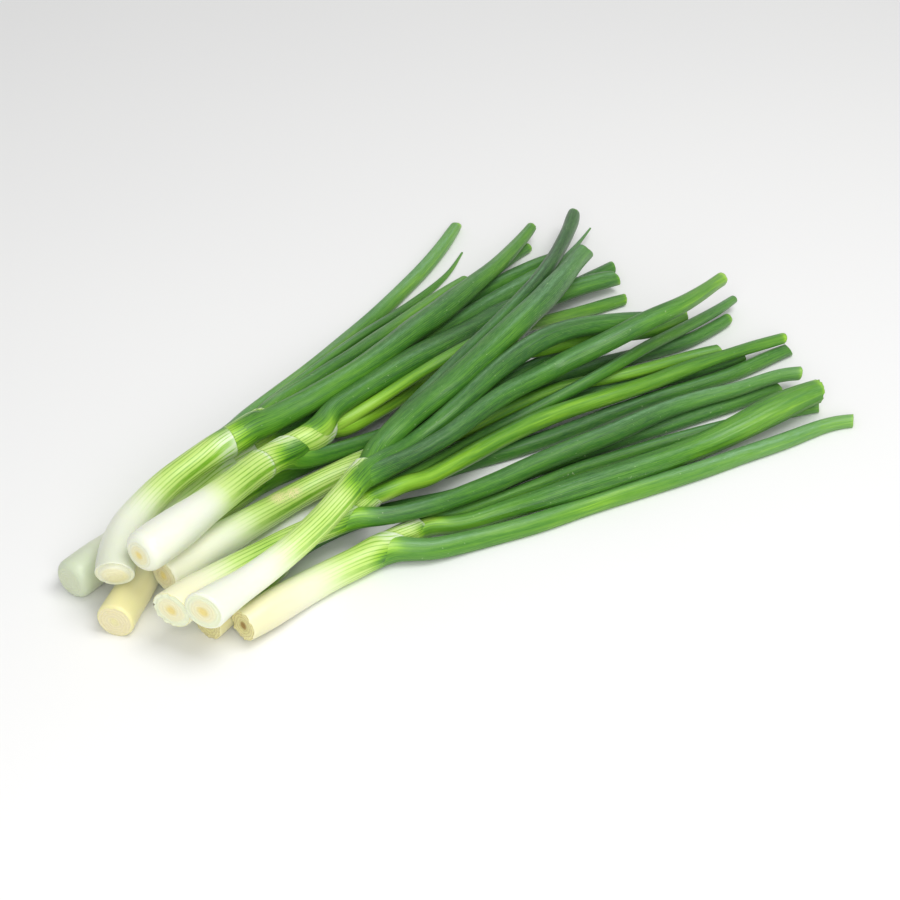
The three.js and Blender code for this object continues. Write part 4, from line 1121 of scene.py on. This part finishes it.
    # Painted light: a leaf is made a little paler on its right-hand side, just above level, and a little darker on
    # the other side; the last term is a slow random change along it.
    green = green - 0.05 * np.cos(all_angles - 0.3) + 0.04 * np.sin(all_along / 23 + rng.uniform(0, 6))
    if open_tip:
        green[len(stations):] = 0.34
        bloom_and_sheen[len(stations):] = 0
    zero = np.zeros_like(green)
    tones = dict(
        green=np.clip(green, 0, 1), veins=np.clip(veins, 0, 1), warm=zero, cool_and_shade=zero,
        bloom_and_sheen=np.clip(bloom_and_sheen, 0, 1), collar=zero, dry=zero, radial=zero,
    )
    slots = np.zeros(len(all_along), int)
    piece = skin(f"leaf_{number + 1}_{leaf + 1}", points, all_angles / (2 * math.pi), all_along, tones, slots, [material])
    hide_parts(f"onion_{number + 1}_leaves")
    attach(piece, "root")


WIDER = {(8, 0): 0.5, (8, 2): 0.5}


def make_camera():
    eye = to_bunch(view_point()) * MM
    aim = to_bunch(np.zeros(3)) * MM
    data = bpy.data.cameras.new("camera")
    data.lens = VIEW_LENS
    data.sensor_width = SENSOR
    data.clip_start = 0.01
    data.clip_end = 20
    camera = bpy.data.objects.new("camera", data)
    bpy.context.scene.collection.objects.link(camera)
    camera.location = eye
    camera.rotation_euler = Vector(aim - eye).to_track_quat("-Z", "Y").to_euler()
    bpy.context.scene.camera = camera


def add_light(name, place, aim, size, power):
    data = bpy.data.lights.new(name, "AREA")
    data.shape = "DISK"
    data.size = size
    data.energy = power
    lamp = bpy.data.objects.new(name, data)
    lamp.location = place
    lamp.rotation_euler = (Vector(aim) - Vector(place)).to_track_quat("-Z", "Y").to_euler()
    bpy.context.scene.collection.objects.link(lamp)


def make_studio():
    """A pale floor under a soft bright sky, with a large key light and a weaker fill."""
    half = 3.0
    mesh = bpy.data.meshes.new("floor")
    mesh.from_pydata([(-half, -half, 0), (half, -half, 0), (half, half, 0), (-half, half, 0)], [], [(0, 1, 2, 3)])
    floor = bpy.data.objects.new("floor", mesh)
    bpy.context.scene.collection.objects.link(floor)
    g = Graph("floor_paper")
    shade = g.noise(g.object_place(), 3.0, 1.0)
    g.feed(g.shader.inputs["Base Color"], g.mix(shade, linear((244, 244, 243)), linear((240, 240, 240))))
    g.shader.inputs["Roughness"].default_value = 0.7
    mesh.materials.append(g.material)
    world = bpy.data.worlds.new("sky")
    world.use_nodes = True
    world.node_tree.nodes["Background"].inputs["Color"].default_value = (1, 1, 1, 1)
    world.node_tree.nodes["Background"].inputs["Strength"].default_value = SKY_STRENGTH
    bpy.context.scene.world = world
    c, s = math.cos(TURN), math.sin(TURN)

    def turned(x, y, z):
        return (x * c - y * s, x * s + y * c, z)

    add_light("key", turned(0.40, -0.20, 1.2), (0, 0, 0), 0.8, KEY_POWER)
    add_light("fill", turned(0.05, -1.05, 0.75), (0, 0, 0), 0.9, FILL_POWER)


SKY_STRENGTH = 0.46
KEY_POWER = 8.0
FILL_POWER = 6.6

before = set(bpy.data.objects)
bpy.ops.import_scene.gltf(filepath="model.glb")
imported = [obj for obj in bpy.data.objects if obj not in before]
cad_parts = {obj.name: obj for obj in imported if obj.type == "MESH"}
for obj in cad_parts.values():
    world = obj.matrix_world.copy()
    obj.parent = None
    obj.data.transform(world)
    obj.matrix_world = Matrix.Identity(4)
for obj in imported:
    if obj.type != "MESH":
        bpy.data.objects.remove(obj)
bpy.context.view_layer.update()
bpy.context.scene.view_settings.view_transform = "Standard"
make_camera()
make_studio()
bunch = lay_bunch()
stalk_skin = skin_material("stalk_skin", 0.34, 0.3)
leaf_skin = skin_material("leaf_skin", 0.40, 0.06)
cuts = {
    "plain": cut_material("cut_plain", PLATE_PLAIN, PLATE_PLAIN, PLATE_PLAIN, 0.0),
    "clean": cut_material("cut_clean", CORE_YELLOW, PLATE_CREAM, PLATE_PALE, 0.02),
    "stepped": cut_material("cut_stepped", PLATE_CREAM, PLATE_CREAM, PLATE_PALE, 0.03),
    "cored": cut_material("cut_cored", CORE_YELLOW, PLATE_CREAM, PLATE_RIM, 0.01),
    "cream": cut_material("cut_cream", CREAM_FLESH, PLATE_BEIGE, PLATE_BEIGE, 0.06),
    "peach": cut_material("cut_peach", CORE_YELLOW, PLATE_BEIGE, PLATE_CREAM, 0.10),
    "brown": cut_material("cut_brown", CUT_BROWN, DRY, CREAM_FLESH, 0.3),
}
for number in range(len(ONIONS)):
    shaft = Shaft(number, bunch)
    stalk_piece(shaft, [stalk_skin, cuts[STALKS[number]["face"]]])
    for leaf, chain in shaft.chains.items():
        if leaf >= 0:
            leaf_piece(shaft, chain, bunch, leaf_skin)
